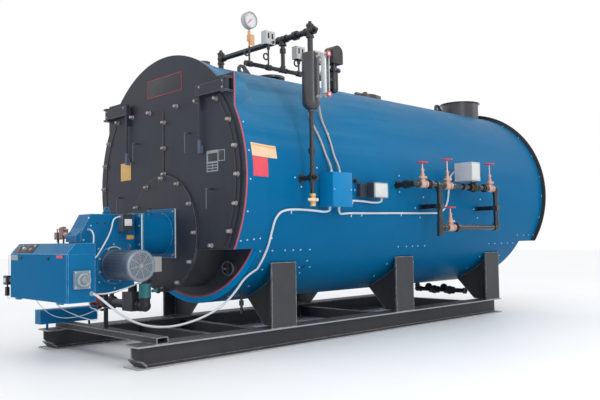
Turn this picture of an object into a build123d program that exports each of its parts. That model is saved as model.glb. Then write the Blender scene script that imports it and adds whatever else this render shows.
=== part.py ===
from build123d import *
from math import acos, cos, pi, radians, sin, sqrt, tan
import os

os.makedirs("parts", exist_ok=True)

# A packaged fire-tube steam boiler on a steel skid, with a forced-draught gas burner.
# Millimetres. +Y runs from the burner end to the stack end, +X is the valve side, +Z is up.
# Y = 0 is the outer face of the front smokebox plate, Z = 0 is the floor under the skid.

# Driving sizes of the vessel and its lagging jacket
axis_z = 1665.0
jacket_r = 1250.0
shell_r = 1180.0
shell_wall = 12.0
tubesheet_y = 350.0
sheet_t = 20.0
rear_sheet_y = 4960.0
jacket_end_y = 5270.0
shell_end_y = 5430.0
overhang_end_y = 5628.0
smokebox_floor_z = 985.0
plate_t = 12.0
fit_gap = 0.3
pin_fit = 0.06
run_gap = 6.0

# Driving sizes of the smokebox front and its doors
front_r = 1302.0
ear_x = 1137.0
ear_inner_x = 870.0
ear_low_z = 2280.0
ear_top_z = 2615.0
ear_depth = 150.0
opening_r = 1186.0
opening_z = (1040.0, 2400.0)
mullion_half = 30.0
door_t = 14.0
door_r = 1236.0
door_z = (1000.0, 2440.0)
door_seam = 2.5
lining_t = 50.0
lining_gap = 14.0
handle_r = 6.5
handle_reach = 85.0
handle_places = ((480.0, 2117.0, 195.0), (820.0, 1552.0, 185.0))

# Driving sizes of the davits that carry the doors
davit_pin_x = 1085.0
davit_y = -45.0
davit_z = 2450.0
davit_h = 105.0
davit_t = 50.0
davit_pin_r = 15.0
hanger_x = 670.0
hanger_pin_r = 14.0
hanger_bar = 36.0
hanger_bar_t = 14.0
hanger_low_z = 1905.0
lug_t = 20.0
lug_reach = 36.0

# Driving sizes of the furnace front and the burner
furnace_z = 1147.0
furnace_r = 560.0
furnace_wall = 12.0
furnace_flange_r = 593.0
furnace_flange_t = 15.0
cover_t = 20.0
blast_r = 205.0
blast_wall = 6.0
burner_plate = 490.0
burner_plate_t = 12.0
flange_t = 15.0
housing_y = -430.0
housing_half = 120.0
housing_z = (585.0, 1333.0)
motor_r = 132.0
motor_ring_r = 144.0
motor_y = -650.0
motor_z = 853.0
motor_end_x = 605.0
cabinet_x = (-784.0, 402.0)
cabinet_y = (-1257.0, -988.0)
cabinet_z = (547.0, 970.0)
cabinet_top_z = 1064.0
console_depth = 85.0
cabinet_sheet = 3.0
panel_t = 16.0

# Driving sizes of the skid and its saddles
rail_x = 843.0
rail_h = 195.0
rail_w = 234.0
rail_flange_t = 14.0
rail_web_t = 10.0
rail_y = (-900.0, 4892.0)
nose_back = 100.0
anchor_half_y = 700.0
anchor_x = 783.0
anchor_r = 11.0
saddle_ys = (760.0, 2715.0, 4680.0)
saddle_w = 330.0
saddle_plate_t = 20.0
saddle_face_x = 960.0
cross_tube_y = -660.0
cross_tube_w = 115.0
cross_tube_h = 58.0
cross_tube_wall = 6.0

# Driving sizes of the feedwater train
fw_x = 1500.0
fw_z = 1655.0
fw_low_z = 1172.0
fw_r = 30.0
fw_start_y = 2225.0
fw_tee_y = 2684.0
fw_end_y = 3895.0
control_y = 3400.0
valve_half = 62.0
wheel_r = 64.0
wheel_rim_r = 7.0
stem_r = 7.0
valves = (
    ("inner", 2370.0, fw_z, 238.0),
    ("middle", 2850.0, fw_z, 300.0),
    ("outer", 3770.0, fw_z, 305.0),
    ("bypass", 2890.0, fw_low_z, 232.0),
)

# Driving sizes of the header, the manifold and the water column
header_y = 740.0
header_z = 3075.0
header_r = 30.0
column_x = 1400.0
column_r = 86.0
column_z = (2325.0, 2866.0)
glass_z = (2423.0, 2808.0)
lower_cross_z = 1655.0
drain_valve_z = 1500.0
manifold_x = 1010.0
manifold_z = 2760.0
manifold_y = (258.0, 1290.0)
small_r = 21.0
gauge_y = 300.0
gauge_z = 3180.0
gauge_r = 82.0
control_boxes = ((545.0, 2985.0), (960.0, 2905.0), (1225.0, 2905.0))
probe_y = 1065.0
probe_z = 2640.0

# Driving sizes of the boxes on the valve side
side_box_x = (1255.0, 1440.0)
side_box_y = (985.0, 1256.0)
side_box_z = (1384.0, 1720.0)
relay_y = (1660.0, 1880.0)
relay_z = (1490.0, 1650.0)

# Driving sizes of the top fittings and the stack collar
stack_x = 90.0
stack_y = 5325.0
stack_r = 280.0
stack_wall = 8.0
stack_top_z = 3105.0
steam_y = 1470.0
steam_flange_r = 171.0
steam_bore_r = 101.0
steam_pcd = 298.0
steam_hole_r = 11.0
steam_holes = 8
manway_y = 3180.0
capped_y = 500.0
lug_ys = (1050.0, 4865.0)

# Driving sizes of the gas, blowdown and drain pipes and of the conduits
gas_y = -240.0
gas_z = 430.0
gas_r = 45.0
gas_end_x = -985.0
blow_y = 4250.0
blow_z = 330.0
drain_at = (530.0, 560.0)
conduit_r = 11.0
thin_conduit_r = 7.0

along, across, back, ahead, up, down = (1, 0, 0), (-1, 0, 0), (0, 1, 0), (0, -1, 0), (0, 0, 1), (0, 0, -1)


def block(x, y, z):
    """A box between three pairs of limits."""
    size = (x[1] - x[0], y[1] - y[0], z[1] - z[0])
    middle = ((x[0] + x[1]) / 2, (y[0] + y[1]) / 2, (z[0] + z[1]) / 2)
    return Pos(*middle) * Box(*size)


def box_at(centre, size):
    return Pos(*centre) * Box(*size)


def rod(start, end, radius):
    """A round bar from one point to another."""
    a, b = Vector(*start), Vector(*end)
    plane = Plane(origin=a, z_dir=(b - a).normalized())
    return plane * Cylinder(radius, (b - a).length, align=(Align.CENTER, Align.CENTER, Align.MIN))


def stub(at, axis, first, last, radius):
    """A round bar along an axis through a point, between two distances from it."""
    a, way = Vector(*at), Vector(*axis)
    return rod(tuple(a + way * first), tuple(a + way * last), radius)


def ring(start, end, outer, inner):
    """A round tube from one point to another."""
    a, b = Vector(*start), Vector(*end)
    reach = (b - a).normalized()
    return rod(start, end, outer) - rod(tuple(a - reach), tuple(b + reach), inner)


def collar(at, axis, radius, length):
    """A band round a pipe, centred on a point of its axis."""
    return stub(at, axis, -length / 2, length / 2, radius)


def ball(at, radius):
    return Pos(*at) * Sphere(radius)


def joined(shapes):
    total = shapes[0]
    for shape in shapes[1:]:
        total = total + shape
    return total


def fitting(at, axes, radius):
    """A screwed elbow, tee or cross: a round body with a banded mouth along each axis given."""
    shapes = [ball(at, radius * 1.3)]
    for axis in axes:
        shapes.append(stub(at, axis, radius * 0.6, radius * 2.0, radius * 1.15))
        shapes.append(stub(at, axis, radius * 1.6, radius * 2.1, radius * 1.32))
    return joined(shapes)


def plug(at, axis, radius):
    """A square-headed plug that closes the mouth of a fitting."""
    return stub(at, axis, radius, radius * 2.6, radius * 0.8) + stub(at, axis, radius, radius * 3.2, radius * 0.55)


def union(at, axis, radius):
    """A pipe union: a wide nut between two narrower ends."""
    return collar(at, axis, radius * 1.7, radius * 1.3) + collar(at, axis, radius * 1.35, radius * 3.1)


def mirrored(shape):
    """The same shape on the other side of the boiler's centre plane."""
    return mirror(shape, about=Plane.YZ)


def slab_y(face, y0, y1):
    """A flat outline drawn in X and Z, made solid between two Y planes."""
    return extrude(Plane((0, y0, 0), x_dir=(1, 0, 0), z_dir=(0, -1, 0)) * face, amount=-(y1 - y0))


def slab_x(points, x0, x1):
    """A closed outline of (y, z) points, made solid between two X planes."""
    wire = Polyline(*[(x0, y, z) for y, z in points], close=True)
    return extrude(make_face(wire), amount=x1 - x0, dir=(1, 0, 0))


def disc(radius, z):
    return Pos(0, z) * Circle(radius)


def rect(x, z):
    return Pos((x[0] + x[1]) / 2, (z[0] + z[1]) / 2) * Rectangle(x[1] - x[0], z[1] - z[0])


def jacket_side(z):
    """How far the jacket reaches in X at a height."""
    return sqrt(jacket_r ** 2 - (z - axis_z) ** 2)


def jacket_low(x):
    """How low the jacket reaches at a distance from the centre plane."""
    return axis_z - sqrt(jacket_r ** 2 - x ** 2)


def on_jacket(angle, y, lift=0.0):
    """A point round the jacket, by degrees up from its +X side."""
    r = jacket_r + lift
    return (r * cos(radians(angle)), y, axis_z + r * sin(radians(angle)))


def seated(shape):
    """Cut a fitting to the curve of the jacket."""
    return shape - rod((0, -1, axis_z), (0, overhang_end_y + jacket_r, axis_z), jacket_r + fit_gap)


def save(name, *shapes):
    solids = [s for shape in shapes for s in shape.solids()]
    kept = solids[0] if len(solids) == 1 else Compound(children=solids)
    export_step(kept, f"parts/{name}.step")


# Skid rails: wide-flange beams with a sled nose at the burner end
def skid_rail():
    x = (rail_x - rail_w / 2, rail_x + rail_w / 2)
    y0, y1 = rail_y
    cut_y = y0 + nose_back
    web = slab_x(
        [(cut_y, 0), (y1, 0), (y1, rail_h), (y0, rail_h), (y0, nose_back)],
        rail_x - rail_web_t / 2, rail_x + rail_web_t / 2,
    )
    top = block(x, (y0, y1), (rail_h - rail_flange_t, rail_h))
    low = block(x, (cut_y, y1), (0, rail_flange_t))
    rise = nose_back * 0.62
    lap = rail_flange_t * 0.41
    nose = slab_x(
        [(cut_y, 0), (cut_y + lap, rail_flange_t), (cut_y - rise + rail_flange_t, rise + lap),
         (cut_y - rise, rise)], *x,
    )
    beam = joined([web, top, low, nose])
    for y in (-anchor_half_y, anchor_half_y):
        beam -= rod((anchor_x, y, -1), (anchor_x, y, rail_flange_t + 1), anchor_r)
    return beam


rail = skid_rail()
save("skid_rails", rail, mirrored(rail))


# Channels between the rails, and the box tube under the burner
def cross_channel(y):
    reach = rail_x - rail_web_t / 2 - fit_gap
    web = block((-reach, reach), (y - 5, y + 5), (rail_flange_t + fit_gap, rail_h - 45))
    flange = block((-reach, reach), (y, y + 60), (rail_h - 55, rail_h - 45))
    return web + flange


tube_z = (rail_h, rail_h + cross_tube_h)
tube_y = (cross_tube_y - cross_tube_w / 2, cross_tube_y + cross_tube_w / 2)
cross_tube = block((-saddle_face_x, saddle_face_x), tube_y, tube_z) - block(
    (-saddle_face_x - 1, saddle_face_x + 1),
    (tube_y[0] + cross_tube_wall, tube_y[1] - cross_tube_wall),
    (tube_z[0] + cross_tube_wall, tube_z[1] - cross_tube_wall),
)
save("skid_cross_members", cross_tube, *[cross_channel(y) for y in (saddle_ys[0] - 560,) + saddle_ys])


# Saddles: an upright plate with a curved gusset behind it, three on each side
def saddle(y):
    inner_x = saddle_face_x - saddle_plate_t
    face = block((inner_x, saddle_face_x), (y - saddle_w / 2, y + saddle_w / 2),
                 (rail_h, jacket_low(inner_x) - fit_gap))
    foot_x = saddle_face_x * 0.69
    high_x = saddle_face_x * 0.4
    outline = make_face(Polyline(
        (foot_x, rail_h), (inner_x, rail_h), (inner_x, axis_z), (high_x, axis_z),
        (high_x, jacket_low(high_x)), close=True,
    ))
    half = saddle_plate_t / 2
    return face + slab_y(outline - disc(jacket_r + fit_gap, axis_z), y - half, y + half)


right_saddles = [saddle(y) for y in saddle_ys]
save("saddles", *right_saddles, *[mirrored(s) for s in right_saddles])

# Stack collar, and the flue hole under it
stack_low_z = axis_z + shell_r / 2
flue_hole = rod((stack_x, stack_y, stack_low_z), (stack_x, stack_y, stack_top_z + 1), stack_r - stack_wall)
stack = rod((stack_x, stack_y, stack_low_z), (stack_x, stack_y, stack_top_z), stack_r)
stack += rod((stack_x, stack_y, stack_top_z - plate_t), (stack_x, stack_y, stack_top_z), stack_r + 24)
save("stack_collar", seated(stack - flue_hole))

# Pressure shell with its front and rear tube sheets
bore_r = shell_r - shell_wall
drum_bore = furnace_r - furnace_wall
shell = ring((0, tubesheet_y, axis_z), (0, shell_end_y, axis_z), shell_r, bore_r)
save("pressure_shell", shell - flue_hole)
sheet_face = disc(bore_r - fit_gap, axis_z)
save("tube_sheets",
     slab_y(sheet_face - disc(drum_bore, furnace_z), tubesheet_y, tubesheet_y + sheet_t),
     slab_y(sheet_face, rear_sheet_y, rear_sheet_y + sheet_t))


# Lagging jacket: the long body, and the sheets over the front and rear smokeboxes
def above_floor(shape):
    return shape & block((-2 * jacket_r, 2 * jacket_r), (-jacket_r, overhang_end_y + jacket_r),
                         (smokebox_floor_z, axis_z + 2 * jacket_r))


def quad(points, y):
    return make_face(Polyline(*[(x, y, z) for x, z in points], close=True))


def ear_box(side):
    """The tapered box behind an ear of the smokebox front."""
    plan = [
        (plate_t, [(ear_x, ear_low_z), (ear_x, ear_top_z), (ear_inner_x, ear_top_z),
                   (ear_inner_x, ear_low_z)]),
        (ear_depth, [(ear_x - 60, ear_low_z - 40), (ear_x - 30, ear_top_z - 60),
                     (ear_inner_x, ear_top_z - 20), (ear_inner_x - 60, ear_low_z)]),
        (tubesheet_y + 60, [(ear_x - 197, ear_low_z + 20), (ear_x - 237, ear_top_z - 115),
                            (ear_inner_x - 50, ear_top_z - 55), (ear_inner_x - 110, ear_low_z + 20)]),
    ]
    faces = [quad([(side * x, z) for x, z in points], y) for y, points in plan]
    return loft(faces[:2], ruled=True) + loft(faces[1:], ruled=True)


cone = Plane((0, plate_t, axis_z), x_dir=(1, 0, 0), z_dir=(0, 1, 0)) * Cone(
    front_r, jacket_r, tubesheet_y - plate_t, align=(Align.CENTER, Align.CENTER, Align.MIN))
wrap = joined([above_floor(cone), ear_box(1), ear_box(-1)])
jacket = rod((0, tubesheet_y, axis_z), (0, jacket_end_y, axis_z), jacket_r)
jacket += above_floor(rod((0, jacket_end_y, axis_z), (0, overhang_end_y - plate_t, axis_z), jacket_r))
jacket += wrap - rod((0, -1, axis_z), (0, tubesheet_y, axis_z), shell_r)
jacket -= rod((0, tubesheet_y - 1, axis_z), (0, overhang_end_y, axis_z), shell_r + fit_gap)
save("jacket", jacket - flue_hole)


# Front smokebox: the plate with its door openings and ears, the floor, and the davit lugs
def door_hole(grow=0.0):
    """The right-hand opening behind a door; grow widens it on all sides."""
    face = disc(opening_r + grow, axis_z) & rect(
        (mullion_half - grow, 2 * jacket_r), (opening_z[0] - grow, opening_z[1] + grow))
    return face - disc(furnace_flange_r + 35 - grow, furnace_z)


def davit_lugs():
    x = (davit_pin_x - lug_reach, davit_pin_x + lug_reach)
    y = (davit_y - lug_reach, 0)
    seat = davit_z - fit_gap
    cap = davit_z + davit_h + 1
    pin = rod((davit_pin_x, davit_y, seat - lug_t), (davit_pin_x, davit_y, cap + lug_t), davit_pin_r)
    return joined([block(x, y, (seat - lug_t, seat)), block(x, y, (cap, cap + lug_t)), pin])


def floor_strip(y, radius):
    """The flat floor of a smokebox, cut to the inside of a round wall."""
    strip = block((-radius, radius), y, (smokebox_floor_z, smokebox_floor_z + plate_t))
    return strip & rod((0, y[0] - 1, axis_z), (0, y[1] + 1, axis_z), radius - fit_gap)


ears = rect((-ear_x, -ear_inner_x), (ear_low_z, ear_top_z)) + rect((ear_inner_x, ear_x), (ear_low_z, ear_top_z))
above = rect((-2 * jacket_r, 2 * jacket_r), (smokebox_floor_z, axis_z + 2 * jacket_r))
right_hole = door_hole()
front_face = ((disc(front_r, axis_z) + ears) & above) - disc(furnace_r + fit_gap, furnace_z)
front_face = front_face - right_hole - mirror(right_hole, about=Plane.YZ)
front_floor = floor_strip((plate_t, tubesheet_y), shell_r)
front_floor -= rod((0, 0, furnace_z), (0, tubesheet_y + 1, furnace_z), furnace_r + fit_gap)
lugs = davit_lugs()
save("smokebox_front", joined([slab_y(front_face, 0, plate_t), front_floor, lugs, mirrored(lugs)]))


# Smokebox doors: a plate with a lining plug behind, two drop handles, a hanger bar and its pin
def drop_handle(x, top_z, length):
    top = (x, -handle_reach, top_z)
    return joined([rod(top, (x, -door_t / 2, top_z), handle_r), ball(top, handle_r),
                   stub(top, down, 0, length, handle_r)])


def smokebox_door():
    face = disc(door_r, axis_z) & rect((door_seam, 2 * jacket_r), door_z)
    plate = slab_y(face - disc(furnace_flange_r + 10, furnace_z), -door_t, 0)
    lining = slab_y(door_hole(-lining_gap), 0, lining_t)
    x = (hanger_x - hanger_bar / 2, hanger_x + hanger_bar / 2)
    top = davit_z - run_gap
    bar_y = (davit_y - hanger_bar_t, davit_y)
    foot = (bar_y[0], -door_t)
    pin_at = (hanger_x, davit_y, davit_z + davit_h + fit_gap)
    return joined([
        plate, lining,
        block(x, bar_y, (hanger_low_z, top)),
        block(x, foot, (hanger_low_z, hanger_low_z + 70)),
        block(x, foot, (top - 110, top)),
        block(x, (davit_y - 18, -door_t), (top - 34, top)),
        stub(pin_at, up, -davit_h - run_gap - 5, 5, hanger_pin_r),
        stub(pin_at, up, 0, 14, hanger_pin_r + 8),
    ] + [drop_handle(*place) for place in handle_places])


door = smokebox_door()
save("door_right", door)
save("door_left", mirrored(door))


# Davit arms: a beam with a barrel round the lug pin and a bore for the hanger pin
def davit_arm():
    z = (davit_z, davit_z + davit_h)
    arm = block((hanger_x - 26, davit_pin_x - 20), (davit_y - davit_t / 2, davit_y + davit_t / 2), z)
    arm += rod((davit_pin_x, davit_y, z[0]), (davit_pin_x, davit_y, z[1]), davit_t / 2 + 4)
    for x, r in ((davit_pin_x, davit_pin_r), (hanger_x, hanger_pin_r)):
        arm -= rod((x, davit_y, z[0] - 1), (x, davit_y, z[1] + 1), r + pin_fit)
    return arm


arm = davit_arm()
save("davit_arm_right", arm)
save("davit_arm_left", mirrored(arm))

# Furnace front: the drum that stands out of the tube sheet, and the bolted cover
drum = ring((0, 0, furnace_z), (0, tubesheet_y - fit_gap, furnace_z), furnace_r, drum_bore)
drum += ring((0, -furnace_flange_t, furnace_z), (0, 0, furnace_z), furnace_flange_r, drum_bore)
save("furnace_drum", drum)
cover_y = (-furnace_flange_t - cover_t, -furnace_flange_t)
save("furnace_cover", ring((0, cover_y[0], furnace_z), (0, cover_y[1], furnace_z), furnace_flange_r, blast_r))


# Handhole covers low on the tube sheet, each with its rim, yoke, stud and nut
def handhole(side):
    plane = Plane((side * 620, tubesheet_y, 790), x_dir=(1, 0, 0), z_dir=(0, -1, 0))
    rim = extrude(plane * (Ellipse(98, 75) - Ellipse(76, 54)), amount=34)
    stud = plane * Cylinder(11, 64, align=(Align.CENTER, Align.CENTER, Align.MIN))
    yoke = plane * Pos(0, 0, 30) * Box(30, 130, 16)
    nut = plane * Pos(0, 0, 44) * Cylinder(20, 16)
    return joined([extrude(plane * Ellipse(96, 73), amount=12), rim, stud, yoke, nut])


save("handhole_covers", handhole(1), handhole(-1))

# Rear smokebox: upper plate, floor strips and the plate that closes the shell below them
wall_y = (overhang_end_y - plate_t, overhang_end_y)
shut_y = (shell_end_y - sheet_t, shell_end_y)
floor_top = smokebox_floor_z + plate_t
low_face = disc(bore_r - fit_gap, axis_z) - rect((-2 * jacket_r, 2 * jacket_r), (floor_top, axis_z + 2 * jacket_r))
save("rear_smokebox_plate", joined([
    slab_y(disc(front_r, axis_z) & above, *wall_y),
    slab_y(low_face, *shut_y),
    floor_strip((shut_y[0], shut_y[1] + fit_gap), bore_r),
    floor_strip((shut_y[1] + fit_gap, wall_y[0]), shell_r),
]))
cover_face = disc(door_r - 60, axis_z) & rect((-2 * jacket_r, 2 * jacket_r), opening_z)
save("rear_access_cover", slab_y(cover_face, overhang_end_y, overhang_end_y + door_t))

# Manway, capped nozzle and lifting lugs along the top
crown = axis_z + jacket_r


def on_top(y, radius, low, high, x=0.0):
    """A round body over the crown of the jacket, between two heights above it."""
    return rod((x, y, crown + low), (x, y, crown + high), radius)


manway = joined([
    on_top(manway_y, 215, -60, 40),
    on_top(manway_y, 160, 0, 62),
    box_at((0, manway_y, crown + 75), (52, 380, 26)),
    on_top(manway_y, 34, 0, 108),
    on_top(manway_y, 20, 0, 118),
])
capped = on_top(capped_y, 42, -40, 50) + on_top(capped_y, 72, 40, 85)


def lifting_lug(y):
    outline = make_face(Polyline(
        (y - 70, crown - 60), (y + 150, crown - 60), (y + 150, crown + 10), (y + 20, crown + 142),
        (y - 45, crown + 142), (y - 70, crown + 110), close=True,
    ))
    plate = extrude(Plane.YZ * outline, amount=15, both=True)
    return plate - rod((-40, y - 12, crown + 88), (40, y - 12, crown + 88), 27)


save("top_fittings", *[seated(s) for s in [manway, capped] + [lifting_lug(y) for y in lug_ys]])

# Steam outlet nozzle with its drilled flange
steam = on_top(steam_y, steam_bore_r + 9, -40, 60) + on_top(steam_y, steam_flange_r, 34, 60)
steam -= on_top(steam_y, steam_bore_r, -60, 61)
for k in range(steam_holes):
    turn = 2 * pi * (k + 0.5) / steam_holes
    hole_y = steam_y + steam_pcd / 2 * sin(turn)
    steam -= on_top(hole_y, steam_hole_r, 30, 61, x=steam_pcd / 2 * cos(turn))
save("steam_nozzle", seated(steam))

# Equalizing header: cross on the centre line, pipe to the cross over the column, and the manifold
cross_a, tee_at, cross_b = [(x, header_y, header_z) for x in (0, manifold_x, column_x)]
manifold_at = (manifold_x, header_y, manifold_z)
header = [
    rod((0, header_y, crown - 40), cross_a, header_r),
    rod(cross_a, cross_b, header_r),
    fitting(cross_a, (along, up, down), header_r),
    plug(cross_a, up, header_r),
    fitting(tee_at, (along, across, down), header_r),
    fitting(cross_b, (along, across, up, down), header_r),
    plug(cross_b, up, header_r),
    plug(cross_b, along, header_r),
    collar((column_x - 200, header_y, header_z), along, header_r * 1.5, header_r * 1.6),
    rod((column_x, header_y, column_z[1] + fit_gap), cross_b, header_r * 0.9),
    rod(manifold_at, tee_at, small_r),
    collar((manifold_x, header_y, manifold_z + 200), up, small_r * 1.5, 44),
    rod((manifold_x, manifold_y[0], manifold_z), (manifold_x, manifold_y[1], manifold_z), small_r),
    fitting(manifold_at, (up, back, ahead), small_r),
]
for y in (gauge_y,) + tuple(y for y, z in control_boxes):
    header.append(collar((manifold_x, y, manifold_z), back, small_r * 1.4, 54))
for y in manifold_y:
    header.append(collar((manifold_x, y, manifold_z), back, small_r * 1.2, 24))
save("equalizing_header", seated(joined(header)))


# Pressure gauge and pressure controls, each on a stem with a coil siphon
def siphon(y, top):
    stem = rod((manifold_x, y, manifold_z + small_r * 1.4), (manifold_x, y, top), 9)
    return stem + Pos(manifold_x, y - 33, manifold_z + 105) * (Rot(0, 90, 0) * Torus(30, 8))


cock_at = (manifold_x, gauge_y, gauge_z - gauge_r - 90)
save("pressure_gauge", joined([
    collar((manifold_x, gauge_y, gauge_z), along, gauge_r, 48),
    siphon(gauge_y, gauge_z - gauge_r + 8),
    box_at(cock_at, (30, 32, 60)),
    stub(cock_at, up, 0, 66, 15),
    stub(cock_at, along, 0, 24, 11),
    box_at((manifold_x + 21, gauge_y + 20, cock_at[2] - 18), (6, 54, 106)),
]))


def control_box(y, z):
    return joined([
        siphon(y, z + 5),
        rod((manifold_x, y, z - 42), (manifold_x, y, z), 17),
        box_at((manifold_x, y, z + 66), (68, 124, 132)),
        box_at((manifold_x + 36, y, z + 66), (6, 116, 124)),
        rod((manifold_x + 38, y + 20, z + 20), (manifold_x + 60, y + 20, z + 20), 14),
    ])


save("pressure_controls", *[control_box(y, z) for y, z in control_boxes])

# Water column, its gauge glass and its low-water control
column_foot = (column_x, header_y, column_z[0])
column_h = column_z[1] - column_z[0]
save("water_column", joined([
    stub(column_foot, up, 60, column_h - 22, column_r),
    ball((column_x, header_y, column_z[0] + 60), column_r),
    stub(column_foot, up, column_h - 23, column_h - 6, column_r * 0.78),
    stub(column_foot, up, column_h - 30, column_h, header_r * 1.3),
    stub(column_foot, up, -38, 20, small_r * 1.5),
]))

glass_x = column_x + 195
column_face = column_x + column_r + fit_gap
glass_shapes = [rod((glass_x, header_y, glass_z[0] - 26), (glass_x, header_y, glass_z[1] + 26), 11)]
for z in glass_z:
    cock = (glass_x, header_y, z)
    glass_shapes += [
        rod((column_face, header_y, z), (glass_x + 44, header_y, z), 10),
        rod((column_face, header_y, z), (column_face + 45, header_y, z), 17),
        collar(cock, along, 18, 46),
        stub(cock, along, 44, 53, 30),
    ]
for z in (glass_z[0] + 12, glass_z[1] - 16):
    glass_shapes.append(box_at((glass_x + 2, header_y, z), (48, 72, 6)))
for side_y in (header_y - 30, header_y + 30):
    for x in (glass_x - 16, glass_x + 20):
        glass_shapes.append(rod((x, side_y, glass_z[0] + 10), (x, side_y, glass_z[1] - 14), 4))
save("gauge_glass", joined(glass_shapes))

probe = (column_x, probe_y, probe_z)
save("low_water_control", joined([
    rod((column_x, header_y + column_r + fit_gap, probe_z), probe, 24),
    collar(probe, up, 44, 170),
    ball((column_x, probe_y, probe_z - 85), 44),
    stub(probe, up, 84, 108, 70),
    stub(probe, up, 100, 165, 34),
    box_at((column_x, probe_y, probe_z + 215), (124, 144, 110)),
    collar((column_x, probe_y, probe_z + 268), along, 72, 124),
]))

# Column drain: union, plugged cross fed from the shell, and the lever ball valve below
cross_at = (column_x, header_y, lower_cross_z)
shell_side = jacket_side(lower_cross_z) + fit_gap
save("column_drain_pipe", joined([
    rod((column_x, header_y, drain_valve_z + fit_gap), (column_x, header_y, column_z[0] - 38 - fit_gap), small_r),
    fitting(cross_at, (along, across, up, down), small_r * 1.1),
    plug(cross_at, along, small_r * 1.1),
    rod((shell_side, header_y, lower_cross_z), cross_at, small_r * 1.1),
    rod((shell_side, header_y, lower_cross_z), (shell_side + 14, header_y, lower_cross_z), small_r * 2),
    union((column_x, header_y, 1915), up, small_r),
]))

ball_at = (column_x, header_y, drain_valve_z - 60)
stem_end = 50.0
save("drain_valve", joined([
    stub(ball_at, up, -58, 60, 24),
    stub(ball_at, up, 34, 60, 30),
    stub(ball_at, down, 34, 58, 29),
    ball(ball_at, 38),
    stub(ball_at, along, 0, stem_end, 10),
]))
hub = stub(ball_at, along, stem_end + fit_gap, stem_end + 13, 16)
blade = box_at((column_x + stem_end + 6, header_y - 59, ball_at[2]), (6, 118, 22))
save("drain_valve_lever", hub + blade)

# Junction box, and the relay box with its bracket, on the valve side
box_mid_y = (side_box_y[0] + side_box_y[1]) / 2
box_mid_z = (side_box_z[0] + side_box_z[1]) / 2
junction = block(side_box_x, side_box_y, side_box_z)
junction += box_at((side_box_x[0] - 28, box_mid_y, box_mid_z), (60, 180, 200))
save("junction_box", seated(junction))
relay_face = jacket_r + 50
relay = block((relay_face, relay_face + 100), relay_y, relay_z)
relay += block((jacket_r - 60, relay_face), (relay_y[0] + 30, relay_y[1] - 30), (relay_z[0] + 30, relay_z[1] - 30))
relay += block((jacket_r - 60, relay_face + 2), (relay_y[0] - 110, relay_y[0] - 10), (relay_z[0] + 10, relay_z[1] - 10))
relay += block((relay_face - 30, relay_face - 10), (relay_y[0] - 20, relay_y[0] + 40), (relay_z[0] + 40, relay_z[1] - 40))
save("relay_box", seated(relay))


# Feedwater train: stub and union off the shell, top run, two drops and the bypass run
def fw(y, z=fw_z):
    return (fw_x, y, z)


gate_y = {name: y for name, y, z, rise in valves}
stub_x = jacket_side(fw_z) + fit_gap
supply = [
    rod((stub_x, fw_start_y, fw_z), fw(fw_start_y), fw_r),
    rod((stub_x, fw_start_y, fw_z), (stub_x + 22, fw_start_y, fw_z), fw_r * 1.5),
    union(((stub_x + fw_x) / 2 + 15, fw_start_y, fw_z), along, fw_r),
    fitting(fw(fw_start_y), (across, back), fw_r),
    rod(fw(fw_start_y), fw(gate_y["inner"] - valve_half), fw_r),
]
centre = [
    rod(fw(gate_y["inner"] + valve_half), fw(gate_y["middle"] - valve_half), fw_r),
    union(fw(gate_y["inner"] + valve_half + 75), back, fw_r),
    fitting(fw(fw_tee_y), (ahead, back, down), fw_r),
    rod(fw(fw_tee_y), fw(fw_tee_y, fw_low_z - 95), fw_r),
    fitting(fw(fw_tee_y, fw_low_z), (up, down, back), fw_r),
    collar(fw(fw_tee_y, fw_low_z - 80), up, fw_r * 1.3, 30),
    rod(fw(fw_tee_y, fw_low_z), fw(gate_y["bypass"] - valve_half, fw_low_z), fw_r),
]
inlet_bore = rod(fw(fw_tee_y, fw_low_z - 96), fw(fw_tee_y, fw_low_z - 35), fw_r - 4)
to_control = [
    rod(fw(gate_y["middle"] + valve_half), fw(control_y - 90), fw_r * 0.8),
    collar(fw(gate_y["middle"] + valve_half + 32), back, fw_r * 1.35, 64),
    collar(fw(control_y - 200), back, fw_r * 1.25, 70),
]
from_control = [
    rod(fw(control_y + 90), fw(gate_y["outer"] - valve_half), fw_r),
    union(fw(control_y + 240), back, fw_r),
]
rear_loop = [
    rod(fw(gate_y["outer"] + valve_half), fw(fw_end_y), fw_r),
    fitting(fw(fw_end_y), (down,), fw_r),
    rod(fw(fw_end_y), fw(fw_end_y, fw_low_z), fw_r),
    fitting(fw(fw_end_y, fw_low_z), (ahead, up), fw_r),
    rod(fw(fw_end_y, fw_low_z), fw(gate_y["bypass"] + valve_half, fw_low_z), fw_r),
    union(fw(gate_y["bypass"] + valve_half + 62, fw_low_z), back, fw_r),
]
save("feedwater_piping", joined(supply), joined(centre) - inlet_bore, joined(to_control),
     joined(from_control), joined(rear_loop))


def gate_valve(y, z):
    body = [
        collar(fw(y, z), back, fw_r * 1.15, 2 * valve_half),
        collar(fw(y - valve_half + 14, z), back, fw_r * 1.42, 28),
        collar(fw(y + valve_half - 14, z), back, fw_r * 1.42, 28),
        ball(fw(y, z), 46),
    ]
    for low, high, radius in ((0, 75, 31), (60, 84, 50), (84, 112, 24), (112, 150, 17), (148, 165, 22)):
        body.append(stub(fw(y, z), up, low, high, radius))
    return joined(body) - stub(fw(y, z), up, 60, 166, stem_r + pin_fit)


def handwheel(y, z, rise):
    hub_at = fw(y, z + rise)
    rim_reach = wheel_r - wheel_rim_r
    wheel = [stub(fw(y, z), up, 61, rise + 14, stem_r), collar(hub_at, up, stem_r * 2, 18),
             Pos(*hub_at) * Torus(rim_reach, wheel_rim_r),
             stub(fw(y, z), up, 165 + fit_gap, 176, 12)]
    for k in range(4):
        turn = pi * (k + 0.5) / 2
        wheel.append(stub(hub_at, (cos(turn), sin(turn), 0), 0, rim_reach, 5))
    return joined(wheel)


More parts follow.
